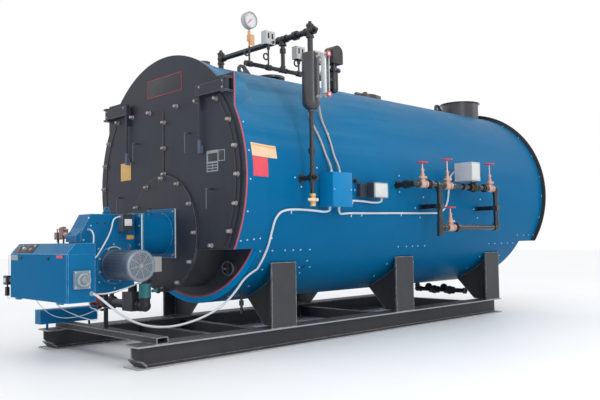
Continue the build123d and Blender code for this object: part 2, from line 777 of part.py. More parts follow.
save("feedwater_valves", *[gate_valve(y, z) for name, y, z, rise in valves])
for name, y, z, rise in valves:
    save(f"handwheel_{name}", handwheel(y, z, rise))

# Feedwater control valve: globe body, yoke, motor box and linkage drum
yoke = fw(control_y, fw_z + 92)
motor_box_x = (fw_x - 125, fw_x + 112)
motor_box_y = (control_y - 210, control_y - 28)
motor_box_z = (fw_z + 70, fw_z + 290)
save("feedwater_control_valve", joined([
    collar(fw(control_y), back, fw_r * 1.2, 180),
    collar(fw(control_y - 76), back, fw_r * 1.55, 28),
    collar(fw(control_y + 76), back, fw_r * 1.55, 28),
    ball(fw(control_y), 60),
    rod(fw(control_y), yoke, 36),
    box_at((fw_x, control_y, yoke[2] + 30), (60, 60, 80)),
    block(motor_box_x, motor_box_y, motor_box_z),
    box_at((fw_x, control_y, yoke[2] + 65), (100, 59, 96)),
    stub((fw_x, control_y, yoke[2] + 73), back, 20, 130, 30),
    stub((fw_x, control_y, yoke[2] + 73), back, 95, 122, 40),
]))


# Channel brackets that carry the two drops off the jacket
def pipe_bracket(y, z):
    arm = block((jacket_side(z) - 60, fw_x + 38), (y - 38, y + 38), (z - 28, z + 28))
    arm -= block((jacket_side(z) - 61, fw_x - 38), (y - 39, y + 32), (z - 22, z + 22))
    return seated(arm - collar((fw_x, y, z), up, fw_r + fit_gap, 80))


bracket_z = fw_low_z + 243
save("pipe_brackets", pipe_bracket(fw_tee_y, bracket_z), pipe_bracket(fw_end_y, bracket_z))

# Blowdown line under the shell with two valves, and the small drain ahead of the first saddle
blow_end = saddle_face_x - 160
blowdown = [
    rod((0, blow_y, blow_z), (0, blow_y, jacket_low(0) - fit_gap), fw_r),
    fitting((0, blow_y, blow_z), (along, up), fw_r),
    rod((0, blow_y, blow_z), (blow_end, blow_y, blow_z), fw_r),
    collar((blow_end - 15, blow_y, blow_z), along, fw_r * 1.4, 30),
]
for x in (blow_end - 510, blow_end - 260):
    blowdown += [
        ball((x, blow_y, blow_z), 58),
        collar((x, blow_y, blow_z), along, fw_r * 1.6, 140),
        rod((x, blow_y, blow_z), (x, blow_y - 130, blow_z + 40), 17),
        rod((x, blow_y - 128, blow_z + 39), (x, blow_y - 145, blow_z + 44), 55),
    ]
blow_bore = rod((blow_end - 100, blow_y, blow_z), (blow_end + 1, blow_y, blow_z), fw_r - 4)
drain_low = jacket_low(drain_at[0]) - 210
front_drain = joined([
    rod((*drain_at, drain_low), (*drain_at, jacket_low(drain_at[0]) + 20), 13),
    collar((*drain_at, drain_low + 105), up, 24, 50),
    collar((*drain_at, drain_low + 12), up, 19, 24),
])
save("blowdown_piping", joined(blowdown) - blow_bore, seated(front_drain))

# Burner: square mounting plate, blast tube and the flange on the fan housing
plate_half = burner_plate / 2
flange_z = (furnace_z - blast_r - 14, furnace_z + blast_r - 14)
tube_end_y = cover_y[1] + 100
blast_fit = blast_r - fit_gap
blast = joined([
    block((-plate_half, plate_half), (cover_y[0] - burner_plate_t, cover_y[0]),
          (furnace_z - plate_half, furnace_z + plate_half)),
    rod((0, housing_y + 2 * flange_t, furnace_z), (0, tube_end_y, furnace_z), blast_fit),
    block((-plate_half, plate_half), (housing_y + flange_t, housing_y + 2 * flange_t), flange_z),
    rod((80, gas_y, furnace_z + blast_r - 35), (80, gas_y, furnace_z + blast_r + 34), 12),
    rod((80, gas_y, furnace_z + blast_r + 14), (80, gas_y, furnace_z + blast_r + 26), 22),
])
save("blast_tube", blast - rod((0, housing_y, furnace_z), (0, tube_end_y + 1, furnace_z), blast_fit - blast_wall))

# Fan housing: slab-sided casing with a sloped inlet face, a motor ring, a lug and a support leg
slope_y = housing_y - 450
inlet_y = cabinet_y[1] + run_gap
housing_low, housing_high = housing_z
casing = [
    (housing_y, housing_low + 60), (housing_y, housing_high), (slope_y, housing_high),
    (inlet_y, cabinet_top_z + 90), (inlet_y, housing_low + 175), (slope_y + 60, housing_low),
    (motor_y, housing_low),
]
hood = [(slope_y + 30, cabinet_top_z + 10), (slope_y - 20, cabinet_top_z + 190),
        (inlet_y - 45, cabinet_top_z + 70), (inlet_y - 45, cabinet_top_z + 10)]
lug_at = motor_y - 30
lug_plate = slab_x([(lug_at - 45, housing_high - 5), (lug_at + 45, housing_high - 5),
                    (lug_at + 20, housing_high + 70), (lug_at - 20, housing_high + 70)], 36, 48)
leg_x = -10.0
leg_z = (tube_z[1] + housing_low) / 2
housing = joined([
    slab_x(casing, -housing_half, housing_half),
    block((-plate_half, plate_half), (housing_y, housing_y + flange_t - fit_gap), flange_z),
    slab_x(hood, -housing_half + 30, housing_half - 10),
    stub((housing_half, motor_y, motor_z), along, -5, 8, motor_r + 42),
    lug_plate - rod((30, lug_at, housing_high + 45), (54, lug_at, housing_high + 45), 16),
    rod((leg_x, cross_tube_y, tube_z[1] + fit_gap), (leg_x, cross_tube_y, housing_low + 1), 21),
    collar((leg_x, cross_tube_y, leg_z + 60), up, 29, 60),
    box_at((leg_x, cross_tube_y - 30, leg_z + 10), (22, 50, 22)),
])
save("fan_housing", housing)

# Fan motor with its fan cowl, eye bolt and connection box
motor_x = housing_half + 8 + fit_gap
motor_at = (motor_x, motor_y, motor_z)
motor_l = motor_end_x - motor_x
box_y = motor_y + motor_r
eye_x = motor_end_x - 205
save("fan_motor", joined([
    stub(motor_at, along, 0, motor_l - 95, motor_r),
    stub(motor_at, along, 0, 26, motor_r + 10),
    stub(motor_at, along, motor_l - 95, motor_l, motor_ring_r),
    block((motor_end_x - 155, motor_end_x - 55), (box_y - 24, box_y + 118), (motor_z - 63, motor_z + 75)),
    rod((eye_x, motor_y, motor_z + motor_r - 8), (eye_x, motor_y, motor_z + motor_r + 20), 9),
    Pos(eye_x, motor_y, motor_z + motor_r + 38) * (Rot(90, 0, 0) * Torus(20, 6)),
]))

# Control cabinet: an open-fronted case with a sloped console, and its drop-down front panel
panel_gap = 1.0
case_front = cabinet_y[0] + panel_t + panel_gap
hinge_r = 3.0
hinge_half = 45.0
hinge_lug = 12.0
hinge_xs = (cabinet_x[0] + 150, cabinet_x[1] - 150)
hinge_y = cabinet_y[0] + panel_t / 2
hinge_z = cabinet_z[0] - 8
knob_z = cabinet_z[1] - 39
knob_xs = (cabinet_x[0] + 250, cabinet_x[1] - 345)


def cabinet_case():
    profile = [(case_front, cabinet_z[0]), (case_front, cabinet_z[1]), (cabinet_y[0], cabinet_z[1]),
               (cabinet_y[0] + console_depth, cabinet_top_z), (cabinet_y[1], cabinet_top_z),
               (cabinet_y[1], cabinet_z[0])]
    case = slab_x(profile, *cabinet_x) - block(
        (cabinet_x[0] + cabinet_sheet, cabinet_x[1] - cabinet_sheet),
        (case_front - 1, cabinet_y[1] - cabinet_sheet),
        (cabinet_z[0] + cabinet_sheet, cabinet_z[1] - cabinet_sheet),
    )
    for x in hinge_xs:
        case += collar((x, hinge_y, hinge_z), along, hinge_r, 2 * hinge_half)
        for side in (-1, 1):
            ends = sorted((x + side * hinge_half, x + side * (hinge_half - hinge_lug)))
            case += block(ends, (hinge_y - 5, case_front + 15), (hinge_z - 5, cabinet_z[0]))
    return case


def cabinet_panel():
    panel = block(cabinet_x, (cabinet_y[0], cabinet_y[0] + panel_t), (cabinet_z[0] + 2, cabinet_z[1] - panel_gap))
    for x in knob_xs:
        panel += rod((x, cabinet_y[0] - 14, knob_z), (x, cabinet_y[0], knob_z), 14)
    leaf_half = hinge_half - hinge_lug - 5
    for x in hinge_xs:
        panel += block((x - leaf_half, x + leaf_half), (hinge_y - 4, hinge_y + 4), (hinge_z, cabinet_z[0] + 3))
        panel += collar((x, hinge_y, hinge_z), along, hinge_r + 3, 2 * leaf_half)
        panel -= collar((x, hinge_y, hinge_z), along, hinge_r + pin_fit, 2 * leaf_half + 2)
    return panel


save("control_cabinet", cabinet_case())
save("cabinet_panel", cabinet_panel())

# Alarm horn and air switch on the cabinet's ends
horn_at = (cabinet_x[1] + fit_gap, cabinet_y[1] - 134, cabinet_z[0] + 200)
switch_at = (cabinet_x[0] - fit_gap - 32, cabinet_y[1] - 157, cabinet_z[0] + 143)
save("cabinet_devices",
     box_at((horn_at[0] + 15, horn_at[1], horn_at[2]), (30, 150, 158))
     + stub(horn_at, along, 20, 62, 62) + stub(horn_at, along, 60, 84, 34),
     joined([
         box_at((switch_at[0], switch_at[1], switch_at[2] + 50), (64, 70, 100)),
         stub(switch_at, down, 0, 50, 17),
         stub(switch_at, down, 50, 84, 25),
         stub(switch_at, up, 100, 255, 6),
     ]))

# Damper motor on the housing's side, and the fuel linkage in front of the hood
servo_x = housing_half + fit_gap
servo_y = (housing_y - 175, housing_y - 70)
save("damper_motor", block((servo_x, servo_x + 92), servo_y, (housing_high - 165, housing_high - 5)))
link_x = -housing_half + 30 - fit_gap
link_y = inlet_y - 20
link_z = cabinet_top_z + 54
save("fuel_linkage", joined([
    rod((link_x, link_y, link_z), (link_x - 210, link_y, link_z), 13),
    rod((link_x - 55, link_y, link_z + 32), (link_x - 240, link_y, link_z + 32), 8),
    box_at((link_x - 95, link_y, link_z + 36), (70, 60, 92)),
    box_at((link_x - 205, link_y, link_z + 16), (60, 52, 68)),
    rod((link_x - 95, link_y, cabinet_top_z + fit_gap), (link_x - 95, link_y, link_z + 104), 9),
    rod((link_x - 205, link_y, cabinet_top_z + fit_gap), (link_x - 205, link_y, link_z), 9),
    rod((link_x - 95, link_y, link_z + 80), (link_x - 95, link_y, link_z + 100), 22),
]))

# Gas train: riser into the blast tube, the main along the front, valves, and the pilot cock
gas_elbow = (0, gas_y, gas_z)
riser_top = furnace_z - blast_r - fit_gap
valve_at = (-235, gas_y, gas_z)
cock_x = gas_end_x + 330
gas = joined([
    rod(gas_elbow, (0, gas_y, riser_top), gas_r * 0.85),
    fitting(gas_elbow, (up, across), gas_r),
    collar((0, gas_y, gas_z + 157), up, 60, 127),
    collar((0, gas_y, riser_top - 20), up, gas_r * 1.3, 40),
    rod(gas_elbow, (gas_end_x, gas_y, gas_z), gas_r),
    box_at((valve_at[0], gas_y, gas_z + 35), (190, 130, 190)),
    stub(valve_at, up, 130, 205, 46),
    ball((cock_x, gas_y, gas_z), 74),
    rod((cock_x, gas_y, gas_z), (cock_x, gas_y, gas_z + 120), 24),
    rod((gas_end_x, gas_y, gas_z), (gas_end_x + 22, gas_y, gas_z), 95),
])
gas_bore = rod((gas_end_x - 1, gas_y, gas_z), (gas_end_x + 120, gas_y, gas_z), gas_r - 6)
pilot_at = (60, cover_y[0] - 90, furnace_z - furnace_flange_r + 24)
pilot = joined([
    stub(pilot_at, back, -70, 90 - fit_gap, 15),
    ball(pilot_at, 30),
    stub(pilot_at, up, 0, 48, 8),
    box_at((pilot_at[0] + 30, pilot_at[1], pilot_at[2] + 50), (96, 16, 8)),
])
save("gas_train", gas - gas_bore, pilot)

# Wireway over the left rail, on the box tube and one foot
way_x = (-905.0, -785.0)
way_y = (-960.0, -332.0)
way_z = tube_z[1] + fit_gap
wireway = block(way_x, way_y, (way_z, way_z + 140))
for y in (way_y[0] + 100, way_y[1] - 68):
    wireway += rod((way_x[0] + 60, y, rail_h + fit_gap), (way_x[0] + 60, y, way_z + 5), 12)
save("wireway", wireway)


# Conduits: straight runs joined by tangent arcs
def route_radii(points):
    radii = []
    for a, b, c in zip(points, points[1:], points[2:]):
        u, v = Vector(*b) - Vector(*a), Vector(*c) - Vector(*b)
        turn = acos(max(-1.0, min(1.0, u.normalized().dot(v.normalized()))))
        radii.append(0.45 * min(u.length, v.length) / tan(turn / 2))
    return radii


def conduit(points, radius):
    path = FilletPolyline(*points, radius=route_radii(points))
    start = (Vector(*points[1]) - Vector(*points[0])).normalized()
    return sweep(Plane(origin=points[0], z_dir=start) * Circle(radius), path=path)


def over(path):
    """Points of a conduit that lies on the jacket, given by angle and Y."""
    return [on_jacket(angle, y, conduit_r + 4) for angle, y in path]


# Conduits fixed to the jacket, between the boxes, the column head and the valve motor
port_x = side_box_x[0] + 65
port_low = side_box_z[0]
port_high = side_box_z[1]
feed_angle = -45.4
feed_turn = radians(feed_angle)
feed_way = Vector(-0.75 * sin(feed_turn), 0.66, 0.75 * cos(feed_turn))
feed_start = on_jacket(feed_angle, tubesheet_y + 74, conduit_r + 4)
feed_next = tuple(Vector(*feed_start) + feed_way * 40)
feed = [feed_start, feed_next] + over([(-38, 452), (-31, 448), (-24, 430), (-18.6, 434), (-15.4, 484),
                                       (-14.3, 575), (-14.1, 720), (-14.4, 905)])
feed += [(port_x - 24, 1006, port_low - 50), (port_x, 1056, port_low - 38), (port_x, 1056, port_low)]
outlet = [(port_x, 1188, port_low), (port_x, 1188, port_low - 34), (port_x - 20, 1222, port_low - 52)]
outlet += over([(-15.9, 1320), (-15.4, 1430), (-14.4, 3070), (-12.2, 3160), (-8, 3208), (-3, 3216)])
outlet += [(1280, 3218, fw_z + 78), (1292, 3224, fw_z + 136), (1312, 3246, fw_z + 182),
           (1344, 3262, fw_z + 200), (motor_box_x[0], 3262, fw_z + 200)]
head_feed = [(port_x - 10, 1100, port_high), (port_x - 10, 1100, port_high + 50), (port_x - 36, 1100, port_high + 112)]
head_feed += over([(11.5, 1094), (17, 1074), (23, 1044), (29, 1012)])
head_feed += [(1114, 1004, 2400), (1150, 1012, 2520), (1208, 1026, 2650), (1262, 1040, 2760),
              (1300, 1044, 2840), (column_x - 62, 1044, 2840)]
control_feed = [(port_x - 10, 1220, port_high), (port_x - 10, 1220, port_high + 50),
                (port_x - 36, 1219, port_high + 112)]
control_feed += over([(11.5, 1216), (17, 1209), (23, 1200), (29, 1190)])
control_feed += [(1082, 1186, 2380), (1064, 1184, 2480), (1061, 1183, 2640), (1059, 1184, 2780),
                 (1052, 1187, 2836), (1034, 1190, 2872), (1034, 1190, control_boxes[2][1])]
relay_feed = [(port_x - 28, side_box_y[1], 1462), (port_x - 28, 1290, 1462)]
relay_feed += over([(-9.6, 1370), (-9.3, 1500), (-9.4, 1650)])
relay_feed += [(jacket_r + 34, 1750, 1446), (jacket_r + 72, 1804, 1444), (jacket_r + 88, 1842, 1456),
               (jacket_r + 88, 1842, relay_z[0])]
save("side_conduits", *[conduit(p, conduit_r) for p in (feed, outlet, head_feed, control_feed, relay_feed)])

# Conduits that hang free between the burner, its cabinet and the jacket
feed_lead = tuple(Vector(*feed_start) - feed_way * 95)
save("loop_conduit", conduit([
    (cabinet_x[1], -1022, 620), (440, -1022, 620), (470, -982, 588), (498, -900, 508), (524, -800, 422),
    (552, -680, 346), (582, -540, 299), (618, -390, 284), (660, -240, 298), (704, -90, 338),
    (744, 46, 396), (780, 164, 474), (808, 268, 580), feed_lead, feed_start,
], conduit_r))
save("motor_conduit", conduit([
    (385, cabinet_y[1], 612), (386, -942, 612), (404, -886, 612), (426, -810, 624), (442, -722, 648),
    (454, -636, 675), (468, -566, 700), (484, -510, 728), (497, -474, 758), (497, -474, motor_z - 63),
], thin_conduit_r))
save("servo_conduit", conduit([
    (167, servo_y[0], 1305), (167, -638, 1305), (172, -672, 1288), (182, -696, 1256), (200, -712, 1214),
    (222, -742, 1162), (250, -785, 1105), (280, -842, 1040), (306, -892, 985), (322, -934, 940),
    (326, -962, 925), (326, cabinet_y[1], 925),
], thin_conduit_r))
save("housing_conduit", conduit([
    (housing_half, -907, 1186), (154, -907, 1186), (188, -905, 1170), (211, -904, 1141), (222, -907, 1104),
    (228, -914, 1060), (231, -930, 1018), (233, -958, 980), (233, cabinet_y[1], 980),
], thin_conduit_r))
save("cabinet_loop", conduit([
    (-262, -1045, cabinet_z[0]), (-262, -1045, 516), (-236, -1040, 488), (-170, -1031, 461),
    (-66, -1026, 438), (50, -1020, 420), (164, -1019, 406), (278, -1018, 397), (388, -1018, 391),
    (476, -1018, 392), (506, -1018, 420), (507, -1018, 460), (478, -1018, 486), (440, -1019, 492),
    (402, -1020, 494), (372, -1020, 503), (354, -1020, 521), (354, -1020, cabinet_z[0]),
], thin_conduit_r * 0.57))
save("leg_wire", conduit([
    (-655, -1055, cabinet_z[0]), (-655, -1055, 512), (-618, -1053, 484), (-552, -1051, 455),
    (-480, -1050, 426), (-404, -1048, 403), (-322, -1045, 386), (-236, -1039, 376), (-156, -1022, 371),
    (-90, -978, 373), (-44, -914, 384), (-18, -848, 402), (leg_x, -780, leg_z + 10),
    (leg_x, cross_tube_y - 55, leg_z + 10),
], thin_conduit_r * 0.43))
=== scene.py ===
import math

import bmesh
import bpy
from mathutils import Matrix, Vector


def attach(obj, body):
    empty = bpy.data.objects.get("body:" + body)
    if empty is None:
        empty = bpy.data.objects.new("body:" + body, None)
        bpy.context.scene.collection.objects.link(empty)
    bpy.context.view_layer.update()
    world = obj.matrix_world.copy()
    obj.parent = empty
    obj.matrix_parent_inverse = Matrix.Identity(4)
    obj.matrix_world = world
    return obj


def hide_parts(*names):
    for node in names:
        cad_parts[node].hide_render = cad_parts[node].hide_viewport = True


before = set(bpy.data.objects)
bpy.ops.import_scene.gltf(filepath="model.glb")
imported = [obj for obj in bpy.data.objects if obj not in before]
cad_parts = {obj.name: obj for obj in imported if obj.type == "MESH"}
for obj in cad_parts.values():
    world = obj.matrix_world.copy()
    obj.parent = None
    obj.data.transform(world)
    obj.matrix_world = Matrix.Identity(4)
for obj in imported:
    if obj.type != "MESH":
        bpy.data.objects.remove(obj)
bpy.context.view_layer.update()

# %% [markdown]
# # A packaged steam boiler, dressed for its portrait
# The steelwork comes in ready made, piece by piece, in metres: +Y runs from the burner to the
# stack, +X is the side with the valves and +Z is up. This lesson paints it, bolts it together
# and hangs its cords.

ALONG, ACROSS, BACK = Vector((1, 0, 0)), Vector((-1, 0, 0)), Vector((0, 1, 0))
AHEAD, UP, DOWN = Vector((0, -1, 0)), Vector((0, 0, 1)), Vector((0, 0, -1))
FULL_TURN = 2 * math.pi

# %% [markdown]
# ## Where the camera stands
# The picture is a photograph of a six-metre machine from about seven metres away, at chest
# height. A camera could be aimed with a Track To constraint, but a matrix made of its own right,
# up and backward directions holds a small roll too, so that is used here.


# %% Camera
def columns(x, y, z, at):
    """A matrix whose columns are three directions and a place."""
    return Matrix([(*way, 0) for way in (x, y, z)] + [(*at, 1)]).transposed()


CAMERA_AT = Vector((6.1302, -4.0159, 1.0824))
YAW, PITCH, ROLL = 0.8009, 0.0535, -0.0158
LENS_MM, SENSOR_MM = 42.206, 36.0

ahead = Vector((-math.sin(YAW) * math.cos(PITCH), math.cos(YAW) * math.cos(PITCH), math.sin(PITCH)))
level = Vector((math.cos(YAW), math.sin(YAW), 0.0))
upward = level.cross(ahead)
right = math.cos(ROLL) * level + math.sin(ROLL) * upward
top = -math.sin(ROLL) * level + math.cos(ROLL) * upward
lens = bpy.data.cameras.new("camera")
lens.lens, lens.sensor_width, lens.sensor_fit = LENS_MM, SENSOR_MM, "HORIZONTAL"
lens.clip_end = 200.0
camera = bpy.data.objects.new("camera", lens)
camera.matrix_world = columns(right, top, -ahead, CAMERA_AT)
bpy.context.collection.objects.link(camera)
bpy.context.scene.camera = camera
print("camera looks along", [round(v, 3) for v in ahead])

# %% [markdown]
# ## Colours and nodes
# Colours are easiest to judge as they look on a screen, but a shader works with linear light, so
# one helper turns the first into the second. The others keep each line about nodes short.


# %% Helpers for colours and nodes
def tint(red, green, blue):
    """A colour as it looks on a screen, 0 to 255, turned to the linear values of a shader."""
    linear = []
    for value in (red, green, blue):
        c = value / 255
        linear.append(c / 12.92 if c <= 0.04045 else ((c + 0.055) / 1.055) ** 2.4)
    return (*linear, 1.0)


def feed(tree, socket, value):
    """Give a socket a value, or link it to the output of another node."""
    if isinstance(value, bpy.types.NodeSocket):
        tree.links.new(value, socket)
    else:
        socket.default_value = value


def put(tree, kind, inputs=None, **settings):
    """Add one shader node; its inputs may be values or the outputs of other nodes."""
    node = tree.nodes.new("ShaderNode" + kind)
    for name, value in settings.items():
        setattr(node, name, value)
    for name, value in (inputs or {}).items():
        feed(tree, node.inputs[name], value)
    return node


def mixed(tree, factor, first, second):
    """A colour between two others; a mix node keeps its colours in sockets 6 and 7."""
    return put(tree, "Mix", {0: factor, 6: first, 7: second}, data_type="RGBA").outputs[2]


def place_on(tree):
    """The place of the shaded point on the machine."""
    return put(tree, "TexCoord").outputs["Object"]


def noise(tree, place, scale, detail=2.0, rough=0.5, distortion=0.0):
    """A soft random cloud."""
    return put(tree, "TexNoise", {"Vector": place, "Scale": scale, "Detail": detail, "Roughness": rough,
                                  "Distortion": distortion}).outputs["Fac"]


def calculated(tree, operation, first, second, clamp=False):
    """One step of arithmetic between two values."""
    return put(tree, "Math", {0: first, 1: second}, operation=operation, use_clamp=clamp).outputs[0]


def product(tree, value, *others):
    """Several values multiplied, with one node for each step."""
    for other in others:
        value = calculated(tree, "MULTIPLY", value, other)
    return value


def spread(tree, value, low, high, to_low=0.0, to_high=1.0):
    """Stretch the part of a value between low and high over a new range."""
    return put(tree, "MapRange", {"Value": value, "From Min": low, "From Max": high,
                                  "To Min": to_low, "To Max": to_high}).outputs["Result"]


# %% [markdown]
# ## Light and floor
# The real machine was cut out and laid on white, lit from all round with a brighter sky on the
# valve side. A white world gives the even light. One soft panel overhead adds the pale sheen on
# the jacket's front shoulder, helped by a painted sky reflection in the jacket's colour. A tall
# panel and one at the back draw bright lines on the black pipes.

# %% Floor
FLOOR_REACH = 40.0
floor_paint = bpy.data.materials.new("floor_white")
floor_paint.use_nodes = True
tree = floor_paint.node_tree
floor_bsdf = tree.nodes["Principled BSDF"]
floor_cloud = noise(tree, place_on(tree), 0.4)
floor_colour = mixed(tree, floor_cloud, tint(250, 251, 253), tint(243, 246, 249))
feed(tree, floor_bsdf.inputs["Base Color"], floor_colour)
floor_bsdf.inputs["Roughness"].default_value = 0.55

bm = bmesh.new()
bmesh.ops.create_grid(bm, x_segments=1, y_segments=1, size=FLOOR_REACH)
floor_mesh = bpy.data.meshes.new("floor")
bm.to_mesh(floor_mesh)
bm.free()
floor_mesh.materials.append(floor_paint)
floor = bpy.data.objects.new("floor", floor_mesh)
bpy.context.collection.objects.link(floor)
print("floor", 2 * FLOOR_REACH, "m wide")

# %% World and lamps
world = bpy.data.worlds.new("white_studio")
world.use_nodes = True
world.node_tree.nodes["Background"].inputs["Color"].default_value = (1.0, 1.0, 1.0, 1.0)
world.node_tree.nodes["Background"].inputs["Strength"].default_value = 1.0
bpy.context.scene.world = world
bpy.context.scene.view_settings.view_transform = "Standard"


def soft_panel(name, at, aim, size, power):
    """A rectangular lamp that faces a place."""
    lamp = bpy.data.lights.new(name, "AREA")
    lamp.shape, lamp.size, lamp.size_y, lamp.energy = "RECTANGLE", size[0], size[1], power
    obj = bpy.data.objects.new(name, lamp)
    facing = (Vector(at) - Vector(aim)).to_track_quat("Z", "Y").to_matrix().to_4x4()
    obj.matrix_world = Matrix.Translation(at) @ facing
    bpy.context.collection.objects.link(obj)


soft_panel("sky_panel", (4.4, -0.6, 6.4), (0.7, 0.9, 2.2), (2.6, 3.6), 60.0)
soft_panel("side_panel", (7.4, -0.4, 3.0), (1.4, 0.74, 1.9), (0.4, 3.6), 70.0)
soft_panel("rear_panel", (5.2, 10.0, 5.6), (1.4, 3.0, 1.6), (2.6, 2.6), 60.0)
print("lamps", len(bpy.data.lights))

# %% [markdown]
# ## Shared effects
# Every finish on the machine ages the same way: paint fades in patches, grime runs down it, dust
# lies on what faces up and castings have a grainy skin. Edges turn pale: worn to metal on the
# skid, a painted highlight on the other finishes. On the jacket two effects paint light and
# shade: a painted sky reflection on its upper front and painted shade where it faces up. Each
# effect is a node group made once. A material then feeds it its own colours and amounts.


# %% Helper for node groups
def new_group(name, inputs, outputs):
    """A node group; inputs and outputs go from a socket's label to its kind."""
    tree = bpy.data.node_groups.new(name, "ShaderNodeTree")
    for label, kind in inputs.items():
        tree.interface.new_socket(label, in_out="INPUT", socket_type="NodeSocket" + kind)
    for label, kind in outputs.items():
        tree.interface.new_socket(label, in_out="OUTPUT", socket_type="NodeSocket" + kind)
    print("group", name, "takes", list(inputs))
    return tree, tree.nodes.new("NodeGroupInput").outputs, tree.nodes.new("NodeGroupOutput").inputs


# %% [markdown]
# Aged paint: large soft patches turn the paint a little paler, and thin streaks that follow
# gravity carry the grime. Stretching one noise along Z gives streaks; leaving it even gives
# patches.

# %% Aged paint
tree, given, result = new_group(
    "aged paint",
    {"Paint": "Color", "Faded": "Color", "Grime": "Color", "Fade": "Float", "Streaks": "Float",
     "Patch Size": "Float"},
    {"Colour": "Color", "Mask": "Float"})
spot = place_on(tree)
patches = noise(tree, spot, calculated(tree, "DIVIDE", 1.0, given["Patch Size"]), 5.0, 0.55)
fade = product(tree, spread(tree, patches, 0.38, 0.68), given["Fade"])
stretched = put(tree, "Mapping", {"Vector": spot, "Scale": (9.0, 9.0, 0.9)}).outputs["Vector"]
streak = product(tree, spread(tree, noise(tree, stretched, 1.6, 6.0, 0.6), 0.52, 0.75), given["Streaks"])
worn_colour = mixed(tree, fade, given["Paint"], given["Faded"])
feed(tree, result["Colour"], mixed(tree, streak, worn_colour, given["Grime"]))
feed(tree, result["Mask"], calculated(tree, "ADD", fade, streak, clamp=True))

# %% [markdown]
# Dust settles on faces that look up. On the jacket the same group carries a dark blue tint and
# paints shade on the top instead. The surface normal's Z says how much a face looks up, and a
# noise breaks the colour into patches.

# %% Dust and painted shade on top
tree, given, result = new_group(
    "dust and painted top shade", {"Colour": "Color", "Dust": "Color", "Amount": "Float"},
    {"Colour": "Color", "Mask": "Float"})
facing = put(tree, "SeparateXYZ", {0: put(tree, "NewGeometry").outputs["Normal"]}).outputs["Z"]
cloud = spread(tree, noise(tree, place_on(tree), 7.0, 5.0), 0.3, 0.7, 0.4, 1.0)
dust_and_shade_mask = product(tree, spread(tree, facing, 0.55, 0.98), given["Amount"], cloud)
feed(tree, result["Colour"], mixed(tree, dust_and_shade_mask, given["Colour"], given["Dust"]))
feed(tree, result["Mask"], dust_and_shade_mask)

# %% [markdown]
# Large rolled sheet is never quite even, so the sky reflected in it breaks into long bands. They
# are a painted reflection: a noise drawn out along Y and kept to the upper front part of the
# jacket lightens its colour towards a sky tone.

# %% Painted sky reflection
tree, given, result = new_group(
    "painted sky reflection", {"Colour": "Color", "Sky": "Color", "Amount": "Float"}, {"Colour": "Color"})
spot = place_on(tree)
drawn = put(tree, "Mapping", {"Vector": spot, "Scale": (1.0, 0.22, 3.4)}).outputs["Vector"]
bands = noise(tree, drawn, 1.5, 7.0, 0.6, 0.6)
place = put(tree, "SeparateXYZ", {0: spot}).outputs
high = spread(tree, place["Z"], 1.75, 2.75)
near = spread(tree, place["Y"], 0.2, 3.6, 1.0, 0.12)
bright = product(tree, high, near, given["Amount"], spread(tree, bands, 0.40, 0.66, 0.12, 1.0))
feed(tree, result["Colour"], mixed(tree, bright, given["Colour"], given["Sky"]))

# %% [markdown]
# Pale edges are worn to metal on the skid and a painted highlight on every other finish. A Bevel
# node bends the normal near an edge. Where the bent normal and the true one disagree there is an
# edge, on any mesh, without painting one by hand.

# %% Worn and highlighted edges
tree, given, result = new_group(
    "worn and highlighted edges", {"Colour": "Color", "Bare": "Color", "Reach": "Float", "Amount": "Float"},
    {"Colour": "Color"})
bent = put(tree, "Bevel", {"Radius": given["Reach"]}, samples=4).outputs["Normal"]
true = put(tree, "NewGeometry").outputs["Normal"]
agree = put(tree, "VectorMath", {0: bent, 1: true}, operation="DOT_PRODUCT").outputs["Value"]
breakup = spread(tree, noise(tree, place_on(tree), 22.0, 6.0, 0.7), 0.35, 0.6, 0.25, 1.0)
wear_and_highlight = product(tree, spread(tree, agree, 0.985, 0.86), given["Amount"], breakup)
feed(tree, result["Colour"], mixed(tree, wear_and_highlight, given["Colour"], given["Bare"]))

# %% [markdown]
# A grainy skin for castings and a faint orange peel for sprayed sheet are the same noise at
# different sizes. The group puts out a height, and each material decides how deep it is.

# %% Grain
tree, given, result = new_group("grain skin", {"Grain Size": "Float", "Pits": "Float"}, {"Height": "Float"})
spot = place_on(tree)
grain_scale = calculated(tree, "DIVIDE", 1.0, given["Grain Size"])
pits = put(tree, "TexVoronoi", {"Vector": spot, "Scale": grain_scale}).outputs["Distance"]
sunk = product(tree, spread(tree, pits, 0.0, 0.35, 1.0, 0.0), given["Pits"])
feed(tree, result["Height"], calculated(tree, "SUBTRACT", noise(tree, spot, grain_scale, 3.0), sunk))

# %% [markdown]
# Some steel pieces carry two finishes: a red wheel on a bright stem, a black valve with a grey
# motor. A group that says whether a point lies inside a box lets one material hold both.

# %% Inside a box
tree, given, result = new_group("inside a box", {"Low": "Vector", "High": "Vector"}, {"Mask": "Float"})
spot = place_on(tree)
over_low = put(tree, "VectorMath", {0: spot, 1: given["Low"]}, operation="SUBTRACT").outputs["Vector"]
under_high = put(tree, "VectorMath", {0: given["High"], 1: spot}, operation="SUBTRACT").outputs["Vector"]
least = put(tree, "VectorMath", {0: over_low, 1: under_high}, operation="MINIMUM").outputs["Vector"]
room = put(tree, "SeparateXYZ", {0: least}).outputs
smallest = calculated(tree, "MINIMUM", calculated(tree, "MINIMUM", room["X"], room["Y"]), room["Z"])
feed(tree, result["Mask"], calculated(tree, "GREATER_THAN", smallest, 0.0))

# %% [markdown]
# ## A paint pot
# One function mixes a finish: paint first, other colours in boxes, then streaks, a painted sky
# reflection, dust (painted shade on the jacket's top) and pale edges (worn on the skid, painted
# highlights elsewhere) on top. The roughness follows the same masks, because faded or dusty paint
# is duller. The pieces that came in ready made keep their shape and place; a finish is put on the
# ones it names.

# %% The paint pot
REFLECTED_SKY, COAT_ROUGHNESS, BUMP_DISTANCE, DULLER = (104, 156, 178), 0.12, 0.002, 0.3
dressed = []


def paler(colour, factor, more):
    """A colour that the sun has bleached a little."""
    return tint(*[min(255, part * factor + more) for part in colour])


